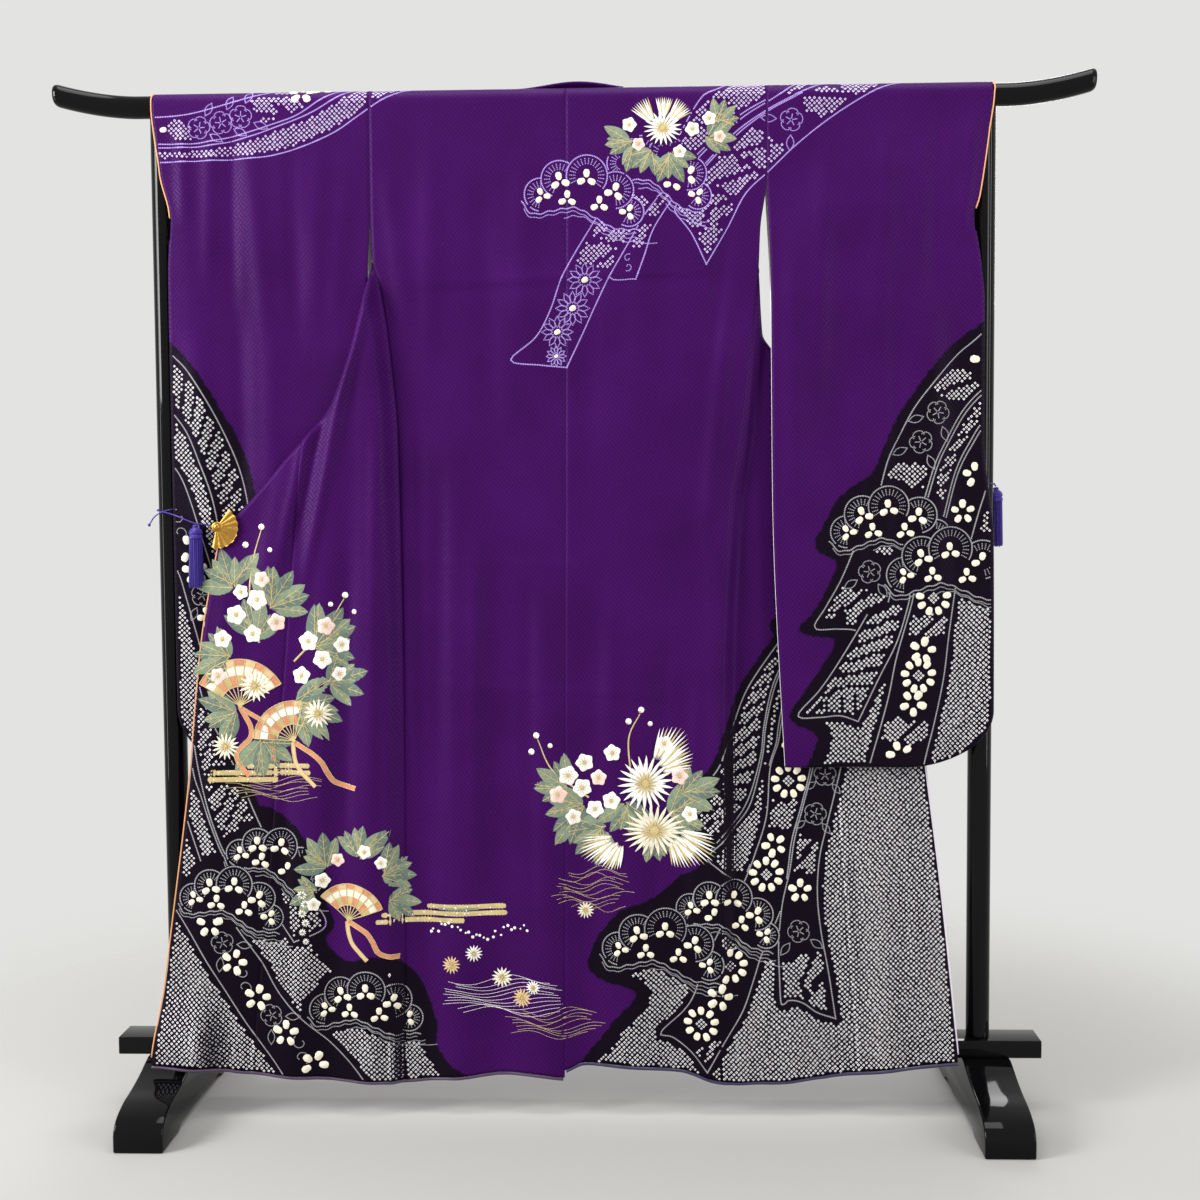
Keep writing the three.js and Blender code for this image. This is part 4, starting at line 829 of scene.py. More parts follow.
class Raised:
    # flat shapes on the pattern, lifted off the cloth
    def __init__(self, canvas):
        self.canvas = canvas
        self.places = []
        self.lift = []
        self.core = []
        self.faces = []
        self.paint = []

    def add(self, places, lift, faces, paint, core=0.0):
        first = sum(len(p) for p in self.places)
        self.places.append(np.asarray(places, float))
        self.lift.append(np.broadcast_to(np.asarray(lift, float), (len(places),)))
        self.core.append(np.broadcast_to(np.asarray(core, float), (len(places),)))
        self.faces.extend([tuple(v + first for v in face) for face in faces])
        self.paint.extend([paint] * len(faces))

    def patch(self, ring, paint, base=0.6, crown=0.8, rings=(0.55,)):
        # a low dome over an outline
        ring = np.asarray(ring, float)
        middle = ring.mean(0)
        n = len(ring)
        places = [ring]
        lift = [np.full(n, base)]
        for share in rings:
            places.append(middle + (ring - middle) * share)
            lift.append(np.full(n, base + crown * 0.85))
        places.append(middle[None])
        lift.append([base + crown])
        faces = []
        for k in range(len(rings)):
            for i in range(n):
                j = (i + 1) % n
                faces.append((k * n + i, k * n + j, (k + 1) * n + j, (k + 1) * n + i))
        last = len(rings) * n
        faces += [(last + i, last + (i + 1) % n, last + n) for i in range(n)]
        self.add(np.vstack(places), np.concatenate(lift), faces, paint)

    def line(self, points, width, paint, base=0.7, crown=0.5, step=5, taper=0.0):
        # a raised thread along a line
        path = smoothLine(points, step) if len(points) > 2 else evenLine(np.array(points, float), step)
        run = np.gradient(path, axis=0)
        run /= np.maximum(np.linalg.norm(run, axis=1, keepdims=True), 1e-9)
        normal = np.stack([-run[:, 1], run[:, 0]], -1)
        half = width / 2 * (1 - taper * np.linspace(0, 1, len(path)))[:, None]
        places = np.vstack([path + normal * half, path, path - normal * half])
        n = len(path)
        lift = np.concatenate([np.full(n, base), np.full(n, base + crown), np.full(n, base)])
        faces = []
        for i in range(n - 1):
            faces.append((i, i + 1, n + i + 1, n + i))
            faces.append((n + i, n + i + 1, 2 * n + i + 1, 2 * n + i))
        self.add(places, lift, faces, paint)

    def dots(self, places, size, paint, base=0.55, crown=1.0, turn=0.0, core=0.0):
        # tied dots, each a small four sided peak; core marks its dark tip
        places = np.asarray(places, float)
        if not len(places):
            return
        turn = np.broadcast_to(turn, (len(places),))
        reach = np.broadcast_to(size, (len(places),))[:, None, None] / 2
        corner = np.stack([np.stack([np.cos(turn + k * math.pi / 2), np.sin(turn + k * math.pi / 2)], -1)
                           for k in range(4)], 1)
        ring = places[:, None, :] + corner * reach
        allPlaces = np.concatenate([ring, places[:, None, :]], 1).reshape(-1, 2)
        lift = np.tile([base] * 4 + [base + crown], len(places))
        faces = [(5 * i + k, 5 * i + (k + 1) % 4, 5 * i + 4) for i in range(len(places)) for k in range(4)]
        self.add(allPlaces, lift, faces, paint, np.tile([0, 0, 0, 0, core], len(places)))

    def build(self, name, materials):
        order = list(materials)
        places = np.vstack(self.places)
        lift = np.concatenate(self.lift)
        place = surfaces[self.canvas]
        parts = zip(np.array_split(places, 40), np.array_split(lift, 40))
        xyz = np.vstack([place(p[:, 0], p[:, 1], l) for p, l in parts if len(p)])
        piece = makeMesh(name, xyz, self.faces, [materials[k] for k in order])
        piece.data.polygons.foreach_set("material_index", [order.index(k) for k in self.paint])
        cut = piece.data.uv_layers.new(name="cut")
        corners = np.empty(len(piece.data.loops), dtype=np.int32)
        piece.data.loops.foreach_get("vertex_index", corners)
        cut.data.foreach_set("uv", (places[corners] * mm).ravel())
        core = piece.data.attributes.new("core", "FLOAT", "POINT")
        core.data.foreach_set("value", np.concatenate(self.core).astype(np.float32))
        print("raised work", name, len(self.faces))
        return piece


def spotRing(x, h, r, count=8):
    angle = np.linspace(0, 2 * math.pi, count, endpoint=False)
    return np.stack([np.cos(angle) * r + x, np.sin(angle) * r + h], -1)


def tiedPetal(x, h, size, turn):
    # a rounded square, a little wider at its outer end
    outline = [(-0.95, -0.34), (-0.62, -0.72), (0.28, -0.92), (0.86, -0.6), (0.98, 0.05), (0.84, 0.62),
               (0.2, 0.92), (-0.66, 0.7), (-0.96, 0.3)]
    return turned(np.array(outline) * size * np.array([1.08, 0.92]), turn, (x, h))


tied = {"pitch": 5.6, "dot": 7.7, "ropeStep": 2.7, "rope": 3.9, "fineStep": 2.3, "fine": 2.9,
        "groundFrom": 24, "beside": {"ribbon": 9, "crown": 13},
        "inside": 6.5, "petal": 5.6}


class TiedWork:
    # what is laid out on one canvas before it is raised
    def __init__(self, canvas, stitchedPlaces):
        self.canvas = canvas
        self.work = Raised(canvas)
        self.rng = np.random.default_rng(11)
        self.busy = {(int(x // 5), int(h // 5)) for x, h in stitchedPlaces}

    def open(self, places, above, margin=2.0):
        # on the cloth, under no shape that lies above, and clear of the embroidery
        keep = onCloth(self.canvas, places)
        for shape in above:
            keep &= signedDistance(shape["outline"], places, margin + 2) < -margin
        return keep & np.array([(int(x // 5), int(h // 5)) not in self.busy for x, h in places], bool)

    def rope(self, line, above, fine=False):
        step, size = (tied["fineStep"], tied["fine"]) if fine else (tied["ropeStep"], tied["rope"])
        places = evenLine(np.asarray(line, float), step)
        run = np.gradient(places, axis=0)
        turn = np.arctan2(run[:, 1], run[:, 0])
        keep = self.open(places, above)
        places, turn = places[keep], turn[keep]
        if len(places):
            dark = groundDepth(self.canvas, places) > 2
            for mask, paint in ((dark, "ropeGrey"), (~dark, "ropeLilac")):
                self.work.dots(places[mask], size, paint, 0.5, 0.9, turn[mask], 0.0)

    def petal(self, x, h, size, turn, above):
        ring = tiedPetal(x, h, size, turn)
        if self.open(ring, above, 1.0).all():
            self.work.patch(ring, "cream", 0.5, 1.5)

    def blossom(self, x, h, above, size=1.0, turn=0.0):
        for k in range(5):
            a = turn + k * 2 * math.pi / 5
            r = 10.4 * size
            self.petal(x + r * math.cos(a), h + r * math.sin(a),
                       tied["petal"] * size * self.rng.uniform(0.9, 1.06), a, above)

    def wreath(self, x, h, above, size=1.0):
        for k in range(9):
            a = k * 2 * math.pi / 9 + 0.2
            r = 16.5 * size
            self.petal(x + r * math.cos(a), h + r * math.sin(a), tied["petal"] * 0.95 * size, a, above)
        heart = ((0, 0), (1, 1), (-1, 1), (1, -1), (-1, -1), (0, 2), (2, 0), (-2, 0), (0, -2))
        spots = np.array([(x + i * 3.5, h + j * 3.5) for i, j in heart])
        self.kanoko(spots[self.open(spots, above)])

    def fan(self, x, h, above, turn, size=1.0):
        # three petals with cloth between them
        for a in (-1.9, 0.1, 2.05):
            r = 9.4 * size
            self.petal(x + r * math.cos(turn + a), h + r * math.sin(turn + a), tied["petal"] * 1.24 * size,
                       turn + a, above)

    def stitchedFlower(self, x, h, above, size=1.0, turn=0.0, petals=5):
        for k in range(petals):
            a = turn + k * 2 * math.pi / petals
            t = np.linspace(-1, 1, 12)
            wide = 2.1 / petals
            arc = np.stack([(5.5 + 10.5 * np.cos(t * 1.45) ** 0.6), 12.5 * wide * np.sin(t * 1.57) * 1.5], -1)
            self.rope(turned(arc * size, a, (x, h)), above, True)
            self.rope(turned([(2.5, 0), (5.5, 0), (8.5, 0)], a, (x, h)), above, True)

    def stitchedLeaf(self, x, h, above, length, turn):
        t = np.linspace(0, 1, 12)
        for way in (-1, 1):
            half = np.stack([t * length, way * length * 0.24 * np.sin(np.pi * t)], -1)
            self.rope(turned(half, turn, (x, h)), above, True)

    def daisy(self, x, h, above, size=1.0):
        for k in range(12):
            a = k * 2 * math.pi / 12
            t = np.linspace(0, 1, 8)
            for way in (-1, 1):
                line = np.stack([(6 + 13 * t) * size, way * 3.3 * size * np.sin(np.pi * t ** 0.8)], -1)
                self.rope(turned(line[:-1] if way > 0 else line, a, (x, h)), above, True)
        self.petal(x, h, 4.2 * size, 0.5, above)

    def curls(self, x, h, above, size=1.0, turn=0.0):
        for a, shift in ((0, -9), (math.pi, 9)):
            t = np.linspace(0, 1, 22)
            angle = t * 4.6
            r = 9.5 * (1 - 0.72 * t) * size
            curl = np.stack([r * np.cos(angle), r * np.sin(angle)], -1)
            self.rope(turned(curl, turn + a, (x, h + shift * size)), above, True)

    def kanoko(self, places):
        if len(places):
            dark = groundDepth(self.canvas, places) > 0
            size = tied["dot"] * self.rng.uniform(0.86, 1.04, len(places))
            for mask, paint in ((dark, "dotGrey"), (~dark, "dotLilac")):
                self.work.dots(places[mask], size[mask], paint, 0.35, 0.95,
                               self.rng.normal(0, 0.06, int(mask.sum())), 1.0)

    def fillRibbon(self, shape, above):
        # set each thing of the ribbon in its own length
        line = shape["middle"]
        a, b = shape["edges"]
        holds = shape["holds"]
        run = np.gradient(line, axis=0)
        for k, kind in enumerate(holds):
            at = int((k + 0.5) / len(holds) * (len(line) - 1))
            x, h = line[at]
            wide = 2 * min(np.linalg.norm(a - line[at], axis=1).min(),
                           np.linalg.norm(b - line[at], axis=1).min())
            way = math.atan2(run[at][1], run[at][0])
            size = min(1.38, (wide - 5) / 34)
            if kind in "fwomc" and size < 0.42:
                continue
            if kind == "f":
                self.blossom(x, h, above, size, self.rng.uniform(0, 2))
            elif kind == "w":
                self.wreath(x, h, above, size * 0.94)
            elif kind == "o":
                self.stitchedFlower(x, h, above, min(size, 1.1), self.rng.uniform(0, 2))
                for turn in (way + 0.9, way - 0.7):
                    self.stitchedLeaf(x + 17 * size * math.cos(turn), h + 17 * size * math.sin(turn),
                                      above, 17 * size, turn)
            elif kind == "m":
                self.daisy(x, h, above, size)
            elif kind == "c":
                self.curls(x, h, above, size, way)

    def dotGround(self):
        # rows of tied dots on the bias wherever the cloth calls for them
        low, high = (-700, 640) if self.canvas == "body" else (300, 720)
        if self.canvas == "sleeveLeft":
            low, high = -720, -300
        rise = tied["pitch"] / math.sqrt(2)
        rows = []
        for k, h in enumerate(np.arange(30, 1680, rise)):
            x = np.arange(low, high, 2 * rise) + (k % 2) * rise
            rows.append(np.stack([x, np.full(len(x), h)], -1))
        places = np.vstack(rows)
        places += np.stack([1.6 * np.sin(places[:, 1] / 31) + 0.9 * np.sin(places[:, 0] / 17),
                            1.5 * np.sin(places[:, 0] / 27 + 1)], -1)
        places += self.rng.normal(0, 0.28, places.shape)
        places = places[onCloth(self.canvas, places, 3)]
        zone = groundDepth(self.canvas, places)
        owner = np.full(len(places), -1)
        blocked = np.zeros(len(places), bool)
        tops = shapes[self.canvas]
        for index in range(len(tops) - 1, -1, -1):
            shape = tops[index]
            gap = signedDistance(shape["outline"], places, 16)
            free = owner < 0
            blocked |= free & (gap < 0) & (-gap < tied["beside"][shape["kind"]]) & (zone > 0)
            owner = np.where(free & (gap > 0), index, owner)
            blocked |= free & (gap > 0) & (gap < tied["inside"])
        chosen = (owner < 0) & (zone > tied["groundFrom"] + self.rng.uniform(-2, 2, len(places)))
        for index, shape in enumerate(tops):
            mine = np.flatnonzero((owner == index) & ~blocked)
            if shape["kind"] == "crown" or not len(mine):
                continue
            chosen[mine] = True if shape["holds"] == "dense" else self.inPatch(shape, places[mine])
        chosen &= ~blocked
        places = places[chosen]
        self.kanoko(places[self.open(places, [])])

    def inPatch(self, shape, places):
        line, holds = shape["middle"], shape["holds"]
        run = np.gradient(line, axis=0)
        run /= np.linalg.norm(run, axis=1, keepdims=True)
        nearest = np.concatenate([((part[:, None] - line[None]) ** 2).sum(-1).argmin(1)
                                  for part in np.array_split(places, max(1, len(places) // 3000))])
        away = places - line[nearest]
        across = away[:, 0] * -run[nearest, 1] + away[:, 1] * run[nearest, 0]
        along = nearest * 4.0 + (away * run[nearest]).sum(1)
        length = len(line) * 4.0
        slot = np.clip((along / length * len(holds)).astype(int), 0, len(holds) - 1)
        middle = (slot + 0.5) / len(holds) * length
        kinds = np.array(list(holds))[slot]
        half = length / len(holds) / 2
        wave = 0.16 * np.sin(across / 5 + slot) + 0.1 * np.sin(along / 4 + across / 7)
        patch = (kinds == "k") & (np.abs(along - middle + 0.35 * across) / half < 0.9 + wave)
        vein = np.abs(np.sin((along * 0.5 + across * 0.9) / 16 + slot)) > 0.22
        step = (along + 0.75 * across + 4 * np.sin(across / 11)) / 29
        block = (kinds == "b") & (np.mod(step, 1) > 0.24)
        return (patch & vein) | block

    def layOut(self):
        tops = shapes[self.canvas]
        for k, shape in enumerate(tops):
            above = tops[k + 1:]
            if shape["kind"] == "crown":
                self.crown(shape["row"], above)
                continue
            for edge in shape["edges"]:
                self.rope(edge, above)
            if shape["holds"] != "dense":
                self.fillRibbon(shape, above)
        self.dotGround()
        return self.work

    def crown(self, row, above):
        x, h, width, tilt = row
        angle = math.radians(tilt)
        put = lambda points: turned(np.asarray(points, float) * width, angle, (x, h))
        for index, (lx, ly, r) in enumerate(lobes):
            out = math.atan2(ly - 0.02, lx)
            t = np.linspace(out - 2.1, out + 2.1, 60)
            arc = np.stack([lx + r * np.cos(t), ly + r * np.sin(t)], -1)
            foot = np.interp(arc[:, 0], [p[0] for p in footLine], [p[1] for p in footLine])
            seen = arc[:, 1] > foot + 0.02
            for fx, fy, fr in lobes[index + 1:]:
                seen &= np.hypot(arc[:, 0] - fx, arc[:, 1] - fy) > fr
            for part in np.split(np.arange(len(arc)), np.flatnonzero(np.diff(seen.astype(int))) + 1):
                if seen[part[0]] and len(part) > 3:
                    self.rope(put(arc[part]), above)
                    for spot in evenLine(arc[part], 7.6 / width):
                        inward = (np.array([lx, ly]) - spot) / r
                        dash = [spot + inward * d / width for d in (5.4, 9.2, 13.2)]
                        self.rope(put(dash), above, True)
            away = np.array([lx, ly]) * np.array([0.96, 0.92])
            spot = put([away])[0]
            self.fan(spot[0], spot[1], above, angle + out * 0.35 + math.pi / 2 * 0.65,
                     0.95 if r > 0.14 else 0.82)
        for foot in ((-0.14, 0.115), (0.13, 0.1)):
            spot = put([foot])[0]
            self.fan(spot[0], spot[1], above, angle + math.pi / 2, 0.88)
        for lower, start, end in ((0.0, 0.0, 1.0), (-0.032, 0.04, 0.98), (-0.064, 0.35, 1.0),
                                  (-0.096, 0.62, 1.0)):
            line = smoothLine(footLine, 0.01)
            shift = np.array([0.03 if lower < -0.05 else -0.012, lower])
            part = line[int(start * len(line)):int(end * len(line))] + shift
            part[:, 1] += 0.006 * np.sin(part[:, 0] * 60)
            self.rope(put(part), above, lower < 0)
        if width > 100:
            extra = [(0.46, -0.17), (0.56, -0.175), (0.64, -0.16)]
            self.rope(put(smoothLine(extra, 0.02)), above, True)


def petalRing(x, h, length, width, turn, near=0.12, count=9):
    # a rounded petal that points away from (x, h)
    t = np.linspace(0, 1, count)
    half = width / 2 * np.sin(np.pi * np.clip(t, 0, 1) ** 0.85) ** 0.75
    along = length * (near + (1 - near) * t)
    ring = np.vstack([np.stack([along, half], -1), np.stack([along[::-1], -half[::-1]], -1)[1:-1]])
    return turned(ring, turn, (x, h))


def cherry(work, x, h, r, turn=0.0, petal="white", heart="gold", base=1.0):
    for k in range(5):
        a = turn + k * 2 * math.pi / 5
        work.patch(petalRing(x, h, r, r * 0.98, a, 0.06, 8), petal, base, 0.9, (0.6,))
    work.patch(spotRing(x, h, r * 0.2, 7), heart, base + 0.9, 0.7, ())
    for k in range(10):
        a = turn + 0.3 + k * math.pi / 5
        tip = (x + math.cos(a) * r * 0.5, h + math.sin(a) * r * 0.5)
        work.line([(x, h), tip], 0.7, heart, base + 0.9, 0.35, 4)
        work.patch(spotRing(tip[0], tip[1], r * 0.055, 5), heart, base + 0.9, 0.6, ())


def chrysanthemum(work, x, h, r, turn=0.0, outer="white", inner="gold", petals=16, base=1.0, squash=1.0):
    for ring, (reach, count, paint) in enumerate(((1.0, petals, outer), (0.72, petals - 3, outer),
                                                  (0.44, petals - 6, inner))):
        for k in range(count):
            a = turn + ring * 0.2 + k * 2 * math.pi / count
            petal = petalRing(0, 0, r * reach, r * 2.6 * reach / count, a, 0.2, 6)
            work.patch(petal * np.array([1, squash]) + np.array([x, h]), paint, base + ring * 0.55, 0.6, ())
    work.patch(spotRing(x, h, r * 0.14, 7), inner, base + 1.9, 0.6, ())


def leaf(work, x, h, length, width, turn, paint, base):
    vein = "gold"
    work.patch(petalRing(x, h, length, width, turn, 0.0, 10), paint, base, 0.7, (0.6,))
    tip = np.array([x, h]) + np.array([math.cos(turn), math.sin(turn)]) * length * 0.94
    work.line([(x, h), tuple(tip)], 0.9, vein, base + 0.9, 0.3, 5)
    for share in (0.3, 0.5, 0.7):
        root = np.array([x, h]) + np.array([math.cos(turn), math.sin(turn)]) * length * share
        for way in (-1, 1):
            a = turn + way * 0.75
            end = root + np.array([math.cos(a), math.sin(a)]) * width * 0.33
            work.line([tuple(root), tuple(end)], 0.6, vein, base + 0.8, 0.25, 4)


def leafSpray(work, x, h, size, count, spread, turn, seed):
    rng = np.random.default_rng(seed)
    paints = ("sage", "sageDark")
    for k in range(count):
        a = turn + spread * ((k + 0.5) / count - 0.5) + rng.uniform(-0.12, 0.12)
        length = size * rng.uniform(0.75, 1.1)
        leaf(work, x + rng.uniform(-4, 4), h + rng.uniform(-4, 4), length, length * 0.42, a,
             paints[k % len(paints)], 0.75 + 0.12 * (k % 3))


def foldingFan(work, x, h, r, start, end, ribs=9, face="peach", band="cream"):
    base = 1.1
    angles = np.radians(np.linspace(start, end, ribs + 1))
    for k, (a, b) in enumerate(zip(angles, angles[1:])):
        for low, high, paint in ((0.42, 0.66, face if k % 2 else "gold"), (0.66, 0.86, band),
                                 (0.86, 1.0, "peachPale" if k % 2 else face)):
            t = np.linspace(a, b, 4)
            outer = np.stack([np.cos(t), np.sin(t)], -1) * r * high
            inner = np.stack([np.cos(t[::-1]), np.sin(t[::-1])], -1) * r * low
            work.patch(np.vstack([outer, inner]) + np.array([x, h]), paint, base, 0.35 + 0.3 * (k % 2), ())
    for a in angles:
        work.line([(x, h), (x + math.cos(a) * r * 0.98, h + math.sin(a) * r * 0.98)], 1.5, "gold",
                  base + 0.5, 0.5, 8)
    rim = np.radians(np.linspace(start, end, 16))
    for reach in (0.42, 0.86, 1.0):
        work.line([(x + math.cos(a) * r * reach, h + math.sin(a) * r * reach) for a in rim], 1.3, "gold",
                  base + 0.6, 0.5, 6)
    work.patch(spotRing(x, h, r * 0.05, 7), "gold", base + 1.2, 0.6, ())


def trailing(work, points, paint="peach", width=7.0, base=1.0):
    # a flat tie with a gold edge on each side
    work.line(points, width, paint, base, 0.5, 5)
    path = smoothLine(points, 6)
    run = np.gradient(path, axis=0)
    run /= np.linalg.norm(run, axis=1, keepdims=True)
    normal = np.stack([-run[:, 1], run[:, 0]], -1)
    for way in (-1, 1):
        work.line([tuple(p) for p in (path + normal * way * width / 2)[::3]], 1.1, "gold", base + 0.2, 0.5, 5)


def twig(work, points, width=3.0, buds=(), paint="gold", base=0.8):
    work.line(points, width, paint, base, 0.7, 5, 0.5)
    for x, h, r in buds:
        work.patch(spotRing(x, h, r, 8), "white", base + 0.3, 0.9)
        work.patch(spotRing(x - r * 0.3, h - r * 0.5, r * 0.45, 6), "gold", base + 0.9, 0.5, ())


def mistBand(work, x, h, width, tall, paint="gold", steps=((0, 0, 1.0), (0.18, 1, 0.62), (-0.2, -1, 0.7))):
    for shift, level, share in steps:
        half = width * share / 2
        cx, ch = x + shift * width, h + level * tall * 0.9
        work.line([(cx - half, ch), (cx + half, ch)], tall, paint, 0.65, 0.3, 5)
        for end in (cx - half, cx + half):
            work.patch(spotRing(end, ch, tall / 2, 12), paint, 0.65, 0.3, ())
        for fleck in range(int(half / 9)):
            work.patch(spotRing(cx - half + 18 * fleck + 7, ch + 2.6 * math.sin(fleck * 2.2), 1.3, 5),
                       "white", 1.1, 0.3, ())


def water(work, x, h, width, rows, rise, paint="gold", seed=3):
    rng = np.random.default_rng(seed)
    for k in range(rows):
        length = width * (1 - 0.5 * abs(k / rows - 0.4)) * rng.uniform(0.85, 1.05)
        start = x - length / 2 + rng.uniform(-12, 12)
        y = h + k * rise
        t = np.linspace(0, 1, 9)
        wave = np.sin(t * math.pi * 2.2 + 0.35 * k) * rise * 1.7 * (0.4 + 0.6 * np.sin(math.pi * t))
        work.line([(start + length * a, y + w) for a, w in zip(t, wave)], 0.9, paint, 0.6, 0.4, 6)


# Each group of embroidery, from its middle: sprays are (x, height, size, leaves, turn, seed),
# blossoms are (x, height, size, tone).
groups = {
    "upperLeft": {
        "middle": (-498, 700), "fan": 74, "blossom": 15, "spread": 2.5, "turn": 0.9, "lift": 1.6,
        "sprays": [(-34, 148, 62, 7, 1.9, 1), (26, 118, 66, 7, 1.0, 2), (96, 54, 70, 8, 0.6, 3),
                   (-44, 40, 58, 6, 2.9, 4), (64, -34, 70, 8, -0.3, 5), (118, -4, 56, 6, 0.2, 6),
                   (-34, -50, 56, 6, 3.5, 7), (8, -96, 60, 6, -1.2, 8), (0, 70, 54, 6, 1.6, 15)],
        "blossoms": [(-30, 104, 1.1, "white"), (4, 128, 1.15, "white"), (34, 92, 1.0, "pink"),
                     (-52, 66, 1.0, "white"), (12, 160, 0.9, "pink"), (-22, 140, 0.85, "white"),
                     (84, 62, 1.1, "white"), (112, 86, 1.0, "pink"), (106, 34, 1.05, "white"),
                     (136, 56, 0.9, "white"), (72, 8, 1.0, "white"), (-60, 8, 0.9, "pink"),
                     (132, 10, 0.85, "white"), (-4, 74, 1.0, "white")],
    },
    "lowerLeft": {
        "middle": (-352, 362), "fan": 58, "blossom": 12, "spread": 2.4, "turn": 1, "lift": 1.6,
        "sprays": [(-40, 44, 52, 6, 2.2, 21), (14, 58, 56, 7, 1.4, 22), (52, 30, 50, 6, 0.5, 23),
                   (60, -12, 46, 5, -0.2, 24), (-58, 2, 44, 5, 3.2, 25)],
        "blossoms": [(-46, 20, 1.1, "white"), (-22, 52, 0.95, "pink"), (22, 66, 1.0, "white"),
                     (48, 48, 0.9, "white"), (-60, -18, 0.95, "white")],
    },
    "right": {
        "middle": (84, 520), "flower": 52, "blossom": 15, "spread": 2.3, "turn": 0.7, "lift": 1.7,
        "sprays": [(-70, -24, 66, 8, 3.3, 31), (-36, -56, 60, 7, 3.9, 32), (70, -34, 62, 7, 0.1, 33),
                   (88, -4, 56, 6, 0.6, 34), (-96, 10, 54, 6, 2.7, 35), (40, -64, 56, 6, -0.8, 36),
                   (0, -20, 56, 6, -1.6, 37)],
        "blossoms": [(-92, 26, 1.1, "white"), (-66, 46, 1.0, "white"), (-108, -4, 1.0, "pink"),
                     (-70, 6, 1.05, "white"), (-44, 22, 0.9, "pink"), (-50, -28, 1.0, "white"),
                     (-22, 62, 0.95, "white"), (60, 76, 0.9, "white"), (-84, -40, 0.9, "white"),
                     (84, 24, 0.95, "pink"), (100, -36, 0.9, "white"), (-24, -14, 1.0, "white")],
    },
    "shoulder": {
        "middle": (146, 1556), "flower": 30, "blossom": 12, "spread": 2.4, "turn": 1, "lift": 1.6,
        "sprays": [(-48, -22, 46, 6, 3.5, 41), (10, -40, 46, 6, -1.3, 42), (70, -16, 46, 6, 0.1, 43),
                   (84, 10, 36, 5, 0.7, 44), (-20, -36, 40, 5, 4.3, 45)],
        "blossoms": [(-52, 6, 1.0, "white"), (-38, -24, 0.9, "pink"), (46, -2, 1.0, "white"),
                     (72, 14, 0.95, "white"), (26, -36, 0.9, "white"), (88, -14, 0.85, "pink")],
    },
}


def sprays(work, group):
    x, h = group["middle"]
    for dx, dh, size, count, turn, seed in group["sprays"]:
        leafSpray(work, x + dx, h + dh, size, count, group["spread"], turn, seed)


def blossoms(work, group):
    x, h = group["middle"]
    for k, (dx, dh, size, tone) in enumerate(group["blossoms"]):
        cherry(work, x + dx, h + dh, group["blossom"] * size, k * group["turn"], tone, "gold", group["lift"])


def pampas(work, base, way, reach, count, width, lean):
    # long thin petals side by side, the outer ones shorter where they lean
    for k in range(count):
        off = k - (count - 1) / 2
        petal = petalRing(base[0], base[1], reach * (1 - lean * abs(off)), width, way + off * 0.085, 0.22, 6)
        work.patch(petal, "white" if k % 3 else "gold", 1.3 + 0.06 * k, 0.5, ())


def groupUpperLeft(work):
    group = groups["upperLeft"]
    x, h = group["middle"]
    r = group["fan"]
    sprays(work, group)
    twig(work, [(x + 6, h + 60), (x - 8, h + 130), (x - 2, h + 190), (x + 12, h + 238)], 3.2,
         [(x + 12, h + 242, 5), (x - 14, h + 214, 5), (x + 26, h + 206, 4)])
    twig(work, [(x + 60, h + 30), (x + 112, h + 84), (x + 140, h + 128)], 3.0,
         [(x + 142, h + 134, 5), (x + 120, h + 120, 4), (x + 156, h + 108, 4)])
    foldingFan(work, x - 26, h - 40, r, 28, 152, 9)
    foldingFan(work, x + 58, h - 96, r * 0.86, 62, 176, 8, "peach", "white")
    trailing(work, [(x - 26, h - 42), (x - 8, h - 84), (x - 34, h - 118), (x - 14, h - 152)])
    trailing(work, [(x - 24, h - 44), (x + 18, h - 74), (x + 26, h - 128)], "peach", 6)
    trailing(work, [(x + 58, h - 98), (x + 98, h - 124), (x + 120, h - 160), (x + 154, h - 172)])
    trailing(work, [(x + 56, h - 98), (x + 62, h - 134), (x + 92, h - 168)], "peachPale", 6)
    blossoms(work, group)
    for dx, dh, size in ((-2, -8, 26), (98, -52, 24), (-50, -104, 22)):
        chrysanthemum(work, x + dx, h + dh, size, 0.3, "cream", "gold", 16, 1.9)
    mistBand(work, x + 6, h - 146, 150, 12)
    water(work, x + 26, h - 186, 150, 11, 4.2, "gold", 5)


def groupLowerLeft(work):
    group = groups["lowerLeft"]
    x, h = group["middle"]
    r = group["fan"]
    sprays(work, group)
    foldingFan(work, x - 6, h - 44, r, 18, 138, 8)
    trailing(work, [(x - 6, h - 46), (x + 26, h - 66), (x + 44, h - 98), (x + 74, h - 104)])
    trailing(work, [(x - 8, h - 46), (x - 2, h - 78), (x + 24, h - 108)], "peachPale", 6)
    blossoms(work, group)
    for k in range(6):
        chrysanthemum(work, x - 78 + 5 * (k % 2), h - 2 - k * 15, 9 - 0.7 * k, k, "white", "sage", 10, 1.2)
    mistBand(work, x + 146, h - 36, 190, 12)
    mistBand(work, x + 168, h - 28, 60, 9, "sage", ((0, 0, 1.0), (0.3, -1, 0.5)))


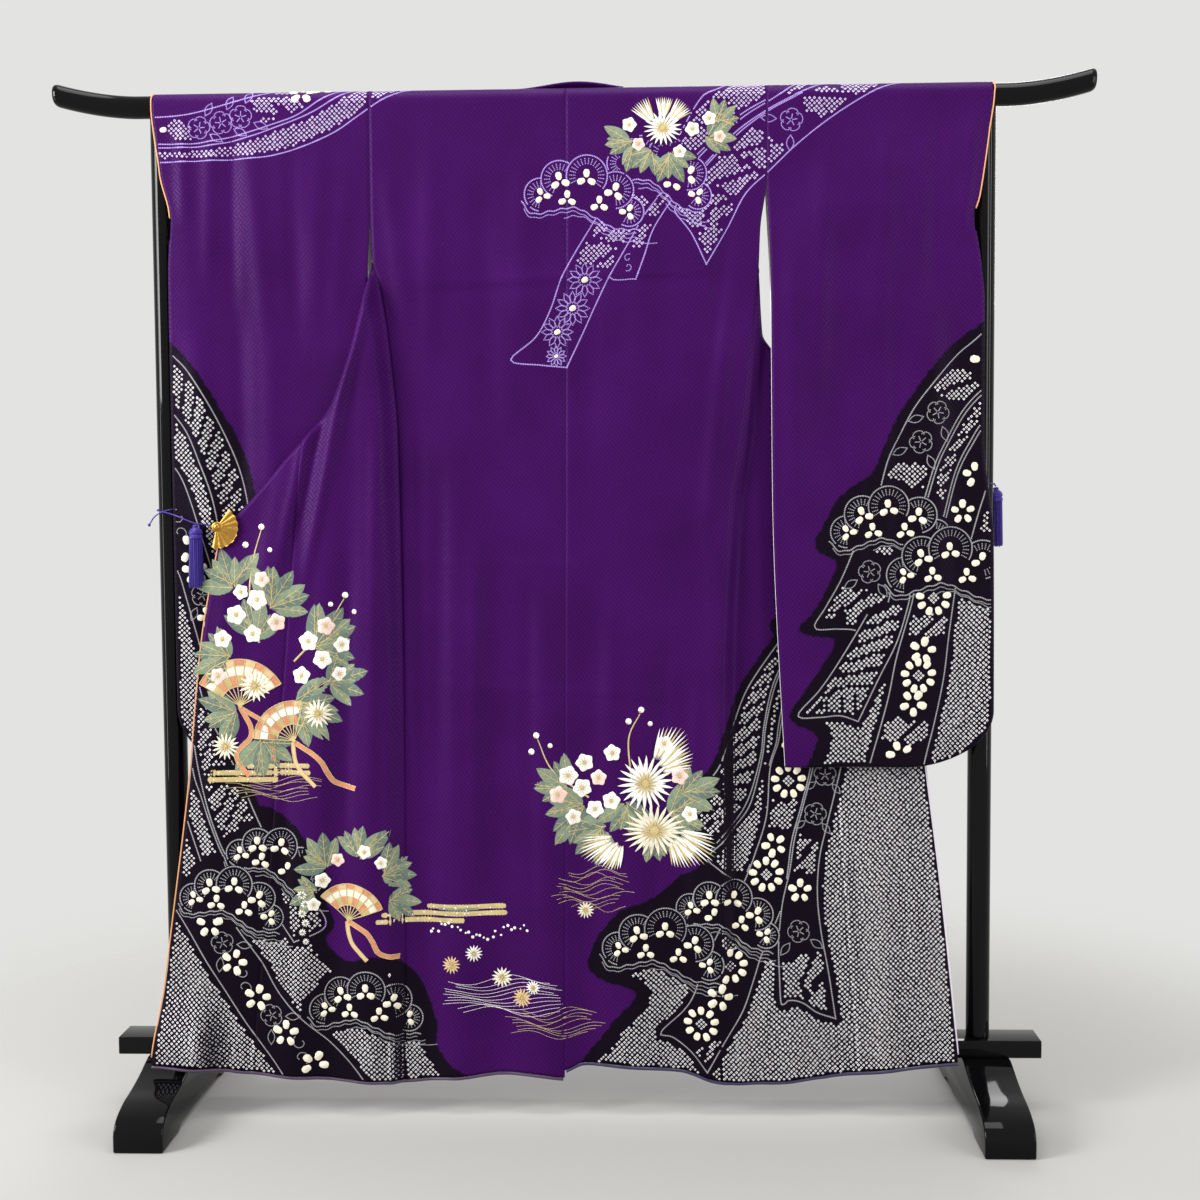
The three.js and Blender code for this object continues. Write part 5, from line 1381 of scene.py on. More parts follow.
def groupRight(work):
    group = groups["right"]
    x, h = group["middle"]
    r = group["flower"]
    sprays(work, group)
    twig(work, [(x - 60, h - 10), (x - 116, h + 34), (x - 140, h + 84)], 3.0,
         [(x - 142, h + 90, 5), (x - 150, h + 64, 5), (x - 120, h + 74, 4)])
    twig(work, [(x + 8, h + 20), (x + 4, h + 84), (x + 22, h + 124)], 3.0,
         [(x + 24, h + 130, 5), (x + 4, h + 112, 5), (x + 38, h + 108, 4)])
    # long pale sprays of pampas either side of two large flowers
    for dx, dh, way, reach in ((40, 36, 0.9, 82), (44, 30, 0.5, 70), (-10, -70, 3.6, 74),
                               (-4, -74, 4.1, 60), (70, -60, -0.6, 84), (66, -66, -1.0, 66)):
        pampas(work, (x + dx, h + dh), way, reach, 12, 3.4, 0.035)
    chrysanthemum(work, x + 30, h + 14, r * 0.86, 0.1, "white", "gold", 22, 2.2)
    chrysanthemum(work, x + 44, h - 62, r, 0.4, "cream", "gold", 24, 2.2, 0.8)
    blossoms(work, group)


def groupShoulder(work):
    group = groups["shoulder"]
    x, h = group["middle"]
    sprays(work, group)
    for dx, dh, way, reach in ((4, 4, 0.8, 46), (-10, 2, 2.2, 48), (0, 8, 1.5, 40)):
        pampas(work, (x + dx, h + dh), way, reach, 9, 2.6, 0)
    chrysanthemum(work, x, h, group["flower"], 0.2, "white", "gold", 20, 2.0, 0.9)
    blossoms(work, group)


def lowerWater(work):
    # grasses, small chrysanthemums and a scatter of tiny petals between the groups
    water(work, -112, 168, 210, 11, 5, "white", 8)
    water(work, -36, 132, 150, 9, 4.6, "gold", 9)
    water(work, 28, 336, 120, 12, 5.2, "gold", 12)
    for x, h, r, tone in ((-196, 244, 15, "peachPale"), (-160, 262, 14, "white"), (-116, 222, 17, "cream"),
                          (-84, 190, 16, "peachPale"), (-66, 208, 12, "white"), (18, 330, 14, "cream")):
        chrysanthemum(work, x, h, r, x, tone, "gold", 14, 1.3)
    rng = np.random.default_rng(4)
    for k in range(26):
        x = -230 + k * 6.2 + rng.uniform(-2, 2)
        h = 296 + 9 * math.sin(k * 0.33) + rng.uniform(-7, 7)
        size = rng.uniform(1.8, 3.4)
        work.patch(spotRing(x, h, size, 6), "white", 0.6, 0.8, ())


# What a place of each colour looks like, as linear values.
def linear(r, g, b):
    return tuple(((v / 255 + 0.055) / 1.055) ** 2.4 if v > 10 else v / 255 / 12.92
                 for v in (r, g, b)) + (1.0,)


colours = {
    # the second purple and the second black are painted sheen: the lighter colour given to the woven figure's
    # gloss
    "purple": linear(45, 7, 63), "purpleFigureSheen": linear(68, 17, 98), "blackDye": linear(8, 6, 10),
    "blackFigureSheen": linear(17, 13, 22),
    "liningWhite": linear(225, 222, 216), "liningPurple": linear(84, 28, 110),
    "cream": linear(226, 218, 196), "dotGrey": linear(240, 237, 239), "dotLilac": linear(218, 204, 236),
    "dotCore": linear(40, 34, 46),
    "ropeGrey": linear(150, 149, 152), "ropeLilac": linear(164, 140, 210), "sage": linear(112, 128, 104),
    "sageDark": linear(86, 104, 92), "gold": linear(192, 172, 118), "goldDark": linear(160, 136, 84),
    "white": linear(232, 228, 220),
    "pink": linear(236, 200, 192), "peach": linear(196, 126, 88), "peachPale": linear(206, 172, 128),
    "cordBlue": linear(36, 4, 112),
    "brass": linear(196, 152, 72), "floor": linear(158, 157, 155), "sky": linear(227, 227, 225),
}


class Nodes:
    # short ways to add and join shader nodes in one tree
    def __init__(self, tree):
        self.tree = tree

    def add(self, kind, **settings):
        node = self.tree.nodes.new(kind)
        for key, value in settings.items():
            setattr(node, key, value)
        return node

    def feed(self, socket, value):
        if isinstance(value, bpy.types.NodeSocket):
            self.tree.links.new(value, socket)
        elif value is not None:
            socket.default_value = value

    def math(self, operation, a, b=None, c=None, clamp=False):
        node = self.add("ShaderNodeMath", operation=operation, use_clamp=clamp)
        for socket, value in zip(node.inputs, (a, b, c)):
            self.feed(socket, value)
        return node.outputs[0]

    def remap(self, value, low, high, start=0.0, end=1.0):
        node = self.add("ShaderNodeMapRange", clamp=True)
        for socket, item in zip(node.inputs, (value, low, high, start, end)):
            self.feed(socket, item)
        return node.outputs[0]

    def blend(self, share, a, b):
        node = self.add("ShaderNodeMix", data_type="RGBA")
        self.feed(node.inputs["Factor"], share)
        self.feed(node.inputs[6], a)
        self.feed(node.inputs[7], b)
        return node.outputs[2]

    def noise(self, place, scale, detail=2.0, roughness=0.5):
        node = self.add("ShaderNodeTexNoise")
        self.feed(node.inputs["Vector"], place)
        self.feed(node.inputs["Scale"], scale)
        self.feed(node.inputs["Detail"], detail)
        self.feed(node.inputs["Roughness"], roughness)
        return node.outputs["Fac"]

    def split(self, place):
        node = self.add("ShaderNodeSeparateXYZ")
        self.feed(node.inputs[0], place)
        return node.outputs

    def attribute(self, name):
        return self.add("ShaderNodeAttribute", attribute_name=name).outputs["Fac"]

    def cut(self):
        return self.add("ShaderNodeUVMap", uv_map="cut").outputs[0]

    def group(self, tree, **values):
        node = self.add("ShaderNodeGroup", node_tree=tree)
        for key, value in values.items():
            self.feed(node.inputs[key], value)
        return node.outputs

    def bump(self, height, strength, distance, normal=None):
        node = self.add("ShaderNodeBump")
        self.feed(node.inputs["Strength"], strength)
        self.feed(node.inputs["Distance"], distance)
        self.feed(node.inputs["Height"], height)
        self.feed(node.inputs["Normal"], normal)
        return node.outputs[0]


def newGroup(name, takes, gives):
    tree = bpy.data.node_groups.new(name, "ShaderNodeTree")
    kinds = {"value": "NodeSocketFloat", "colour": "NodeSocketColor", "vector": "NodeSocketVector"}
    for key, kind in takes.items():
        tree.interface.new_socket(key, in_out="INPUT", socket_type=kinds[kind])
    for key, kind in gives.items():
        tree.interface.new_socket(key, in_out="OUTPUT", socket_type=kinds[kind])
    n = Nodes(tree)
    return n, n.add("NodeGroupInput").outputs, n.add("NodeGroupOutput").inputs


# The figure woven into the silk: a fret of short bars on the bias, seen as gloss.
n, taken, given = newGroup("wovenFigure", {"Place": "vector", "Size": "value"}, {"Figure": "value"})
x, y, _ = n.split(taken["Place"])
a = n.math("DIVIDE", n.math("ADD", x, n.math("MULTIPLY", y, 0.9)), taken["Size"])
b = n.math("DIVIDE", n.math("SUBTRACT", x, n.math("MULTIPLY", y, 0.9)), taken["Size"])
rowA = n.math("MODULO", n.math("FLOOR", a), 2.0)
rowB = n.math("MODULO", n.math("FLOOR", b), 2.0)
turn = n.math("ABSOLUTE", n.math("SUBTRACT", n.math("ABSOLUTE", rowA), n.math("ABSOLUTE", rowB)))
fa = n.math("ABSOLUTE", n.math("SUBTRACT", n.math("FRACT", n.math("MULTIPLY", a, 2.5)), 0.5))
fb = n.math("ABSOLUTE", n.math("SUBTRACT", n.math("FRACT", n.math("MULTIPLY", b, 2.5)), 0.5))
barA = n.remap(fa, 0.2, 0.3)
barB = n.remap(fb, 0.2, 0.3)
n.feed(given["Figure"], n.math("ADD", n.math("MULTIPLY", barA, turn),
                               n.math("MULTIPLY", barB, n.math("SUBTRACT", 1.0, turn))))
wovenFigure = n.tree

# Warp and weft of plain cloth.
n, taken, given = newGroup("plainWeave", {"Place": "vector", "Pitch": "value"}, {"Height": "value"})
x, y, _ = n.split(taken["Place"])
warp, weft = (n.math("SINE", n.math("MULTIPLY", axis, taken["Pitch"])) for axis in (x, y))
n.feed(given["Height"], n.math("MULTIPLY", warp, weft))
plainWeave = n.tree

# A colour that goes a little darker and lighter from place to place.
takes = {"Place": "vector", "Colour": "colour", "Scale": "value", "Middle": "value", "Dark": "value",
         "Light": "value", "Extra": "value"}
n, taken, given = newGroup("unevenTone", takes, {"Colour": "colour"})
cloud = n.noise(taken["Place"], taken["Scale"], 3.0)
tone = n.remap(cloud, n.math("SUBTRACT", 0.5, taken["Middle"]), n.math("ADD", 0.5, taken["Middle"]),
               taken["Dark"], taken["Light"])
node = n.add("ShaderNodeHueSaturation")
n.feed(node.inputs["Value"], n.math("ADD", tone, taken["Extra"]))
n.feed(node.inputs["Color"], taken["Colour"])
n.feed(given["Colour"], node.outputs[0])
unevenTone = n.tree


def newMaterial(name):
    material = bpy.data.materials.new(name)
    material.use_nodes = True
    n = Nodes(material.node_tree)
    shader = material.node_tree.nodes["Principled BSDF"]
    return material, n, shader


def silkCloth(name, patterned=True):
    material, n, shader = newMaterial(name)
    place = n.cut()
    woven = n.group(wovenFigure, Place=place, Size=0.017)
    fine = n.noise(place, 160.0, 2.0)
    # painted sheen: the woven figure is real, but its gloss is also painted into the colour as a lighter
    # purple and a lighter black, besides the lower roughness set below
    colour = n.blend(n.math("MULTIPLY", woven["Figure"], 0.36), colours["purple"], colours["purpleFigureSheen"])
    black = n.blend(n.math("MULTIPLY", woven["Figure"], 0.3), colours["blackDye"], colours["blackFigureSheen"])
    height = n.math("MULTIPLY", woven["Figure"], 0.12)
    if patterned:
        zone, edge = n.attribute("zone"), n.attribute("edge")
        feather = n.math("ADD", zone, n.math("MULTIPLY",
                                             n.math("SUBTRACT", n.noise(place, 95.0, 3.0, 0.6), 0.5), 9.0))
        dark = n.remap(feather, -0.6, 2.2)
        colour = n.blend(dark, colour, black)
        # cloth pulled up round the ties stays crinkled
        crinkle = n.math("MULTIPLY", n.noise(place, 210.0, 3.0, 0.6), n.remap(edge, 26.0, 4.0, 0.0, 0.5))
        height = n.math("ADD", height, crinkle)
    height = n.math("ADD", height, n.math("MULTIPLY", fine, 0.12))
    toned = n.group(unevenTone, Place=place, Colour=colour, Scale=7.0, Middle=0.2, Dark=0.86, Light=1.14)
    n.feed(shader.inputs["Base Color"], toned["Colour"])
    n.feed(shader.inputs["Roughness"], n.remap(woven["Figure"], 0.0, 1.0, 0.52, 0.34))
    shader.inputs["Sheen Weight"].default_value = 0.015
    shader.inputs["Sheen Roughness"].default_value = 0.4
    shader.inputs["Sheen Tint"].default_value = (0.62, 0.3, 0.95, 1)
    shader.inputs["Specular IOR Level"].default_value = 0.09
    shader.inputs["Specular Tint"].default_value = (0.7, 0.38, 0.95, 1)
    weaveNormal = n.bump(n.group(plainWeave, Place=place, Pitch=9000.0)["Height"], 0.12, 0.0002)
    n.feed(shader.inputs["Normal"], n.bump(height, 0.7, 0.0012, weaveNormal))
    return material


def liningCloth(name, lower=None):
    material, n, shader = newMaterial(name)
    place = n.cut()
    colour = colours["liningWhite"]
    if lower is not None:
        border = n.math("ADD", n.split(place)[1],
                        n.math("MULTIPLY", n.math("SUBTRACT", n.noise(place, 5.0), 0.5), 0.004))
        colour = n.blend(n.remap(border, lower - 0.002, lower + 0.002), colours["liningPurple"],
                         colours["liningWhite"])
    toned = n.group(unevenTone, Place=place, Colour=colour, Scale=6.0, Middle=0.2, Dark=0.93, Light=1.05)
    n.feed(shader.inputs["Base Color"], toned["Colour"])
    weave = n.group(plainWeave, Place=place, Pitch=8000.0)["Height"]
    shader.inputs["Roughness"].default_value = 0.5
    shader.inputs["Sheen Weight"].default_value = 0.25
    n.feed(shader.inputs["Normal"], n.bump(weave, 0.15, 0.0002))
    return material


def threadWork(name, colour, metallic=0.0, roughness=0.5, pitch=5200.0, strength=0.5, fade=0.12):
    # rows of laid thread, a little uneven in tone
    material, n, shader = newMaterial(name)
    place = n.cut()
    x, y, _ = n.split(place)
    run = n.math("ADD", n.math("MULTIPLY", x, 0.8), n.math("MULTIPLY", y, 0.6))
    threads = n.math("SINE", n.math("ADD", n.math("MULTIPLY", run, pitch),
                                    n.math("MULTIPLY", n.noise(place, 90.0), 8.0)))
    toned = n.group(unevenTone, Place=place, Colour=colour, Scale=70.0, Middle=0.2, Dark=1 - fade,
                    Light=1 + fade,
                    Extra=n.math("MULTIPLY", threads, 0.07))
    n.feed(shader.inputs["Base Color"], toned["Colour"])
    shader.inputs["Metallic"].default_value = metallic
    shader.inputs["Roughness"].default_value = roughness
    shader.inputs["Sheen Weight"].default_value = 0.15 if metallic == 0 else 0.0
    n.feed(shader.inputs["Normal"], n.bump(threads, strength, 0.0003))
    return material


def tiedCloth(name, colour):
    # undyed silk pulled up into points
    material, n, shader = newMaterial(name)
    place = n.cut()
    toned = n.group(unevenTone, Place=place, Colour=colour, Scale=120.0, Middle=0.25, Dark=0.78, Light=1.1)
    tip = n.remap(n.attribute("core"), 0.64, 0.76)
    n.feed(shader.inputs["Base Color"], n.blend(tip, toned["Colour"], colours["dotCore"]))
    shader.inputs["Roughness"].default_value = 0.6
    shader.inputs["Specular IOR Level"].default_value = 0.25
    n.feed(shader.inputs["Normal"], n.bump(n.noise(place, 420.0, 3.0), 0.5, 0.0006))
    return material


def lacquer(name):
    material, n, shader = newMaterial(name)
    place = n.add("ShaderNodeTexCoord").outputs["Object"]
    soft = n.noise(place, 3.0, 2.0)
    n.feed(shader.inputs["Base Color"], n.blend(soft, (0.001, 0.001, 0.0012, 1), (0.002, 0.002, 0.0024, 1)))
    n.feed(shader.inputs["Roughness"], n.remap(n.noise(place, 24.0, 3.0), 0.3, 0.7, 0.04, 0.07))
    shader.inputs["Specular IOR Level"].default_value = 0.15
    n.feed(shader.inputs["Normal"], n.bump(n.noise(place, 8.0, 1.0), 0.04, 0.002))
    return material


def gilt(name):
    material, n, shader = newMaterial(name)
    place = n.add("ShaderNodeTexCoord").outputs["Object"]
    n.feed(shader.inputs["Base Color"], n.blend(n.noise(place, 90.0, 3.0), colours["brass"],
                                                linear(150, 108, 44)))
    shader.inputs["Metallic"].default_value = 1.0
    n.feed(shader.inputs["Roughness"], n.remap(n.noise(place, 260.0, 3.0), 0.3, 0.7, 0.24, 0.4))
    n.feed(shader.inputs["Normal"], n.bump(n.noise(place, 500.0, 2.0), 0.2, 0.0003))
    return material


def twistedCord(name, colour, turns=900.0):
    material, n, shader = newMaterial(name)
    place = n.add("ShaderNodeTexCoord").outputs["Object"]
    x, y, z = n.split(place)
    run = n.math("ADD", n.math("MULTIPLY", x, 0.9), n.math("ADD", n.math("MULTIPLY", y, 0.7), z))
    twist = n.math("SINE", n.math("MULTIPLY", run, turns))
    n.feed(shader.inputs["Base Color"], n.blend(n.remap(twist, -1.0, 1.0), colour,
                                                tuple(min(1, v * 1.5 + 0.002) for v in colour[:3]) + (1,)))
    shader.inputs["Roughness"].default_value = 0.42
    shader.inputs["Sheen Weight"].default_value = 0.1
    shader.inputs["Sheen Tint"].default_value = (0.5, 0.4, 1, 1)
    n.feed(shader.inputs["Normal"], n.bump(twist, 0.6, 0.0006))
    return material


materials = {
    "silk": silkCloth("silk"),
    "plainSilk": silkCloth("plainSilk", False),
    "bodyLining": liningCloth("bodyLining", 0.62),
    "sleeveLining": liningCloth("sleeveLining"),
    "piping": threadWork("piping", linear(212, 146, 94), 0.0, 0.5, 3000.0, 0.3),
    "pipingPale": threadWork("pipingPale", linear(204, 192, 212), 0.0, 0.5, 3000.0, 0.3),
    "rollBlue": threadWork("rollBlue", linear(24, 10, 62), 0.0, 0.5, 2600.0, 0.4, 0.2),
    "rollDark": threadWork("rollDark", linear(52, 28, 62), 0.0, 0.5, 2600.0, 0.4, 0.6),
    "lacquer": lacquer("lacquer"),
    "gilt": gilt("gilt"),
    "cord": twistedCord("cord", colours["cordBlue"]),
    "strand": twistedCord("strand", colours["cordBlue"], 2600.0),
}
raisedPaints = {
    "cream": tiedCloth("tiedCream", colours["cream"]),
    "dotGrey": tiedCloth("tiedGrey", colours["dotGrey"]),
    "dotLilac": tiedCloth("tiedLilac", colours["dotLilac"]),
    "ropeGrey": tiedCloth("ropeGrey", colours["ropeGrey"]),
    "ropeLilac": tiedCloth("ropeLilac", colours["ropeLilac"]),
    "sage": threadWork("stitchSage", colours["sage"]),
    "sageDark": threadWork("stitchSageDark", colours["sageDark"]),
    "gold": threadWork("stitchGold", colours["gold"], 0.3, 0.42, 4200.0),
    "goldDark": threadWork("stitchGoldDark", colours["goldDark"], 0.3, 0.45, 4200.0),
    "white": threadWork("stitchWhite", colours["white"], 0.0, 0.45, 5200.0, 0.4, 0.06),
    "pink": threadWork("stitchPink", colours["pink"]),
    "peach": threadWork("stitchPeach", colours["peach"]),
    "peachPale": threadWork("stitchPeachPale", colours["peachPale"]),
}
print("materials done")


# The camera comes first, then the cords.
view = {"lens": 47.8935, "place": (128.5, -2540.3, 969.5), "yaw": -0.0337, "pitch": 0.0582, "roll": -0.0067}
cameraData = bpy.data.cameras.new("camera")
cameraData.lens = view["lens"]
cameraData.sensor_width = 36
cameraData.clip_end = 50
camera = bpy.data.objects.new("camera", cameraData)
bpy.context.collection.objects.link(camera)
right = Vector((math.cos(view["yaw"]), -math.sin(view["yaw"]), 0))
level = Vector((math.sin(view["yaw"]), math.cos(view["yaw"]), 0))
up = Vector((0, 0, 1))
ahead = level * math.cos(view["pitch"]) - up * math.sin(view["pitch"])
up = up * math.cos(view["pitch"]) + level * math.sin(view["pitch"])
across = right * math.cos(view["roll"]) + up * math.sin(view["roll"])
upright = up * math.cos(view["roll"]) - right * math.sin(view["roll"])
camera.matrix_world = Matrix((
    (across.x, upright.x, -ahead.x, view["place"][0] * mm),
    (across.y, upright.y, -ahead.y, view["place"][1] * mm),
    (across.z, upright.z, -ahead.z, view["place"][2] * mm), (0, 0, 0, 1)))
bpy.context.scene.camera = camera


def curve3(points, step):
    return smoothLine(points, step, 16)


def ringFaces(rows, around):
    # quads between rows of points, each row a closed ring
    faces = []
    for i in range(rows - 1):
        for k in range(around):
            j = (k + 1) % around
            faces.append((i * around + k, i * around + j, (i + 1) * around + j, (i + 1) * around + k))
    return faces


def caps(rows, around):
    return [tuple(range(around))[::-1], tuple((rows - 1) * around + k for k in range(around))]


def tubeParts(path, radius, around=10):
    # points and faces of a tube whose section doesn't twist
    path = np.asarray(path, float)
    run = np.gradient(path, axis=0)
    run /= np.linalg.norm(run, axis=1, keepdims=True)
    radius = np.broadcast_to(np.asarray(radius, float), (len(path),))
    start = np.array([0, 0, 1.0]) if abs(run[0][2]) < 0.9 else np.array([1.0, 0, 0])
    points = []
    for i, (spot, way) in enumerate(zip(path, run)):
        start = start - way * start.dot(way)
        start = start / np.linalg.norm(start)
        other = np.cross(way, start)
        angle = np.linspace(0, 2 * math.pi, around, endpoint=False)[:, None]
        points.extend((spot + (np.cos(angle) * start + np.sin(angle) * other) * radius[i]).tolist())
    return points, ringFaces(len(path), around) + caps(len(path), around)


def gather(name, parts, materialList, angle=None):
    # one mesh from several sets of points and faces
    points, faces = [], []
    for somePoints, someFaces in parts:
        first = len(points)
        points.extend(somePoints)
        faces.extend([tuple(v + first for v in face) for face in someFaces])
    piece = makeMesh(name, points, faces, materialList)
    if angle:
        piece.data.set_sharp_from_angle(angle=math.radians(angle))
    return piece


def lathe(profile, around=40, centre=(0, 0, 0), axis=2):
    # profile rows are (radius, along); ends with radius 0 close it
    points = []
    for r, along in profile:
        for k in range(around):
            a = 2 * math.pi * k / around
            spot = [r * math.cos(a), r * math.sin(a), along]
            if axis == 1:
                spot = [spot[0], along, spot[1]]
            points.append([centre[0] + spot[0], centre[1] + spot[1], centre[2] + spot[2]])
    return points, ringFaces(len(profile), around)


def settle(piece, slotName, *nodes):
    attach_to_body(piece, "root")
    if nodes:
        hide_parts(*nodes)
    return piece


cords = {
    "left": [[-567.8, -48.4, 943.5], [-578, -50, 946.6], [-591, -50.5, 947.8], [-606, -48.5, 953.5],
             [-622, -43, 959.5], [-638, -31.5, 964],
             [-652, -19.8, 966.5], [-664, -9, 968.5], [-665.4, 2, 970], [-659, 15.5, 971.5],
             [-645, 21, 973], [-630.5, 15, 974], [-624.4, 2, 973],
             [-629, -13.4, 971], [-641, -20.6, 969.6], [-657, -17.2, 964.6], [-667.4, -15, 958],
             [-672, -16, 951], [-675, -17, 946]],
    "right": [[528.8, -11, 936.6], [545, -7, 950], [575, -1, 970], [605, 4, 985], [624, 8, 994],
              [632, 17, 998], [645, 20.9, 1000], [660, 16.4, 1001],
              [666, 4, 1002], [661, -13, 1002], [647, -20.8, 1003], [630, -14.6, 1004.5],
              [624.2, 0, 1005.5], [630, 15.6, 1005], [645, 21.6, 1004.5],
              [660, 22.6, 1003.4], [669.5, 23, 1001.6], [673, 23, 998.1]],
}
tassels = {
    "left": {"x": -591, "y": -50.5, "top": 946, "bottom": 846},
    "right": {"x": 673, "y": 23, "top": 997, "bottom": 902},
    "head": [(0, 0), (2.2, 0), (3, 0.4), (4.2, 1.4), (4.5, 2.6), (4.2, 3.6), (4.3, 4.5), (6, 5.4), (8, 7),
             (9.6, 9), (10.5, 11.5), (10.6, 13.6), (10.2, 14.6), (9.5, 15.1), (9.5, 16.4), (10.3, 16.9),
             (10.8, 18), (10.8, 21), (10.2, 22), (0, 22)],
    "strands": 130,
}


def tasselPiece(name):
    place = tassels[name]
    centre = (place["x"], place["y"], place["top"])
    parts = [lathe([(r, -down) for r, down in tassels["head"]], 48, centre)]
    rng = np.random.default_rng(5 if name == "left" else 6)
    count = tassels["strands"]
    for k in range(count):
        # strands fill the head's foot evenly and spread a little below it
        r = 9.6 * math.sqrt((k + 0.5) / count)
        a = k * 2.39996
        spread = r * rng.uniform(1.12, 1.28) + 0.3
        length = place["top"] - place["bottom"] - rng.uniform(0, 4.5)
        sway = rng.uniform(-0.06, 0.06)
        path = [(centre[0] + mix(r, spread, s) * math.cos(a + sway * s),
                 centre[1] + mix(r, spread, s) * math.sin(a + sway * s), centre[2] - mix(20.5, length, s))
                for s in (0, 0.25, 0.5, 0.75, 1)]
        parts.append(tubeParts(path, [0.7, 0.7, 0.66, 0.62, 0.5], 5))
    return gather("tassel" + name.title(), parts, [materials["strand"]], 45)


for name in side:
    route = curve3(cords[name], 2.5)
    cordPiece = gather("cord" + name.title(), [tubeParts(route, 1.0, 12)], [materials["cord"]])
    settle(cordPiece, "cord", "cord_" + name)
    settle(tasselPiece(name), "cord", "tassel_" + name)
    extras = []
    if name == "left":
        # the tail ends in a small knot
        end = cords[name][-1]
        knot = [(r * 2.3, h * 2.3) for r, h in ((0, 1.1), (0.7, 0.9), (1, 0.4), (1, -0.3), (0.7, -0.9),
                                                (0.2, -1.1), (0, -1.1))]
        knotPiece = gather("cordKnot", [lathe(knot, 16, (end[0], end[1], end[2] - 0.4))], [materials["cord"]])
        extras.append(settle(knotPiece, "cord"))


# The cloth: one object for each length of silk.
sheets = {
    "bodyLeft": {"node": "body_left", "flat": (0.31, 2.45), "held": "hung", "rests": ["standBar"]},
    "bodyRight": {"node": "body_right", "flat": (0.305, 2.3), "held": "hung", "rests": ["standBar"]},
    "okumiLeft": {"node": "okumi_left", "flat": (0.16, 1.2), "held": "hung", "rests": ["bodyLeft"]},
    "okumiRight": {"node": "okumi_right", "flat": (0.155, 1.2), "held": "hung", "rests": ["bodyRight"]},
    "sleeveLeft": {"node": "sleeve_left", "flat": (0.33, 2.12), "held": "hung", "rests": ["standBar"]},
    "sleeveRight": {"node": "sleeve_right", "flat": (0.345, 2.12), "held": "hung", "rests": ["standBar"]},
    "collarBand": {"node": "collar", "flat": (0.057, 2.0), "held": "hung",
                   "rests": ["bodyLeft", "bodyRight"]},
}
collarShape = {"width": 57, "thickness": 3, "standUp": 10, "gap": 0.75}


def clothPiece(name, cloth, canvas, materialList, thickness):
    piece = makeMesh(name, cloth.points, cloth.quads, materialList)
    paintPattern(piece.data, cloth.pattern, canvas)
    thicken(piece, thickness)
    settle(piece, "silk", sheets[name]["node"])
    print("cloth", name, len(piece.data.polygons), "area",
          round(sum(p.area for p in piece.data.polygons) / 2, 3))
    return piece


def collarCloth():
    lift = (collarShape["thickness"] - 1.6) / 2 + 0.4
    half = kimono["seamGap"] / 2
    cloth = Cloth()

    def below(z):
        return quarter + kimono["barZ"] - z

    def frontSpan(name, z):
        way = side[name]
        a, b = ((float(read(collarEdge[name], h)) - way * half, below(h)) for h in (z + 6, z - 6))
        edge = np.array([float(read(collarEdge[name], z)) - way * half, below(z)])
        run = np.array(b) - np.array(a)
        out = np.array([-way * run[1], way * run[0]]) / np.linalg.norm(run)
        return name, edge + out * collarShape["gap"], edge + out * (collarShape["gap"] + collarShape["width"])

    neck = kimono["neckHalf"] - half
    turn = [(57, 0, 30.4, 64), (neck, 2, 30.4, 70), (neck, 16, 30.4, 76), (neck, 30, 30.2, 83)]

    def corner(name):
        rows = []
        for x, h, toX, toH in turn:
            start, end = np.array([side[name] * x, h]), np.array([side[name] * toX, toH])
            out = (end - start) / np.linalg.norm(end - start)
            rows.append((name, start + out * collarShape["gap"], end + out * collarShape["gap"]))
        return rows

    fronts = {name: [frontSpan(name, z) for z in np.linspace(1574, kimono["clip"][name] + 12, 118)]
              for name in side}
    middle = [("left" if x < 0 else "right", np.array([x, collarShape["gap"]]),
               np.array([x, collarShape["gap"] + collarShape["width"]])) for x in (-30, -10, 10, 30)]
    inner = [fronts["left"][0]] + corner("left")[::-1] + middle + corner("right") + [fronts["right"][0]]
    fine = []
    for first, second in zip(inner, inner[1:]):
        for t in np.linspace(0, 1, 6)[:-1]:
            fine.append((first[0], mix(first[1], second[1], t), mix(first[2], second[2], t)))
    spans = fronts["left"][:0:-1] + fine + fronts["right"]
    shares = np.linspace(0, 1, 15)
    rows = []
    along = 0
    last = None
    for name, start, end in spans:
        flat = start + (end - start) * shares[:, None]
        x, down = flat[:, 0], flat[:, 1]
        rise = collarShape["standUp"] * np.cos(np.clip(np.abs(x - 12) / 95, 0, 1) * math.pi / 2) ** 2
        angle = np.clip(down / quarter, 0, 1) * math.pi / 2
        z = kimono["barZ"] - (down - quarter)
        hanging = down >= quarter
        y = np.where(hanging, farY(name, x, z) + lift, (kimono["overDepth"] + lift) * np.sin(angle))
        top = kimono["barZ"] + (kimono["overHeight"] + lift) * np.cos(angle) + rise * (1
            - np.clip(down / quarter, 0, 1))
        xyz = np.stack([x, y, np.where(hanging, z, top)], -1)
        along += 0 if last is None else float(np.linalg.norm(xyz[7] - last))
        last = xyz[7]
        rows.append(cloth.row(xyz, shares * collarShape["width"], along))
    cloth.join(rows, False)
    return cloth


for name in side:
    title = name.title()
    clothPiece("body" + title, bodyPanel(name), "body",
                                        [materials["silk"], materials["bodyLining"]], kimono["thickness"])
    clothPiece("okumi" + title, okumiPanel(name), "body",
                                         [materials["silk"], materials["bodyLining"]], kimono["thickness"])
    clothPiece("sleeve" + title, sleevePanel(name), "sleeve" + title,
                                          [materials["silk"], materials["sleeveLining"]],
                                          kimono["thickness"])
clothPiece("collarBand", collarCloth(), "body",
                                  [materials["plainSilk"], materials["plainSilk"]],
                                  collarShape["thickness"] - 0.2)
print("cloth done")


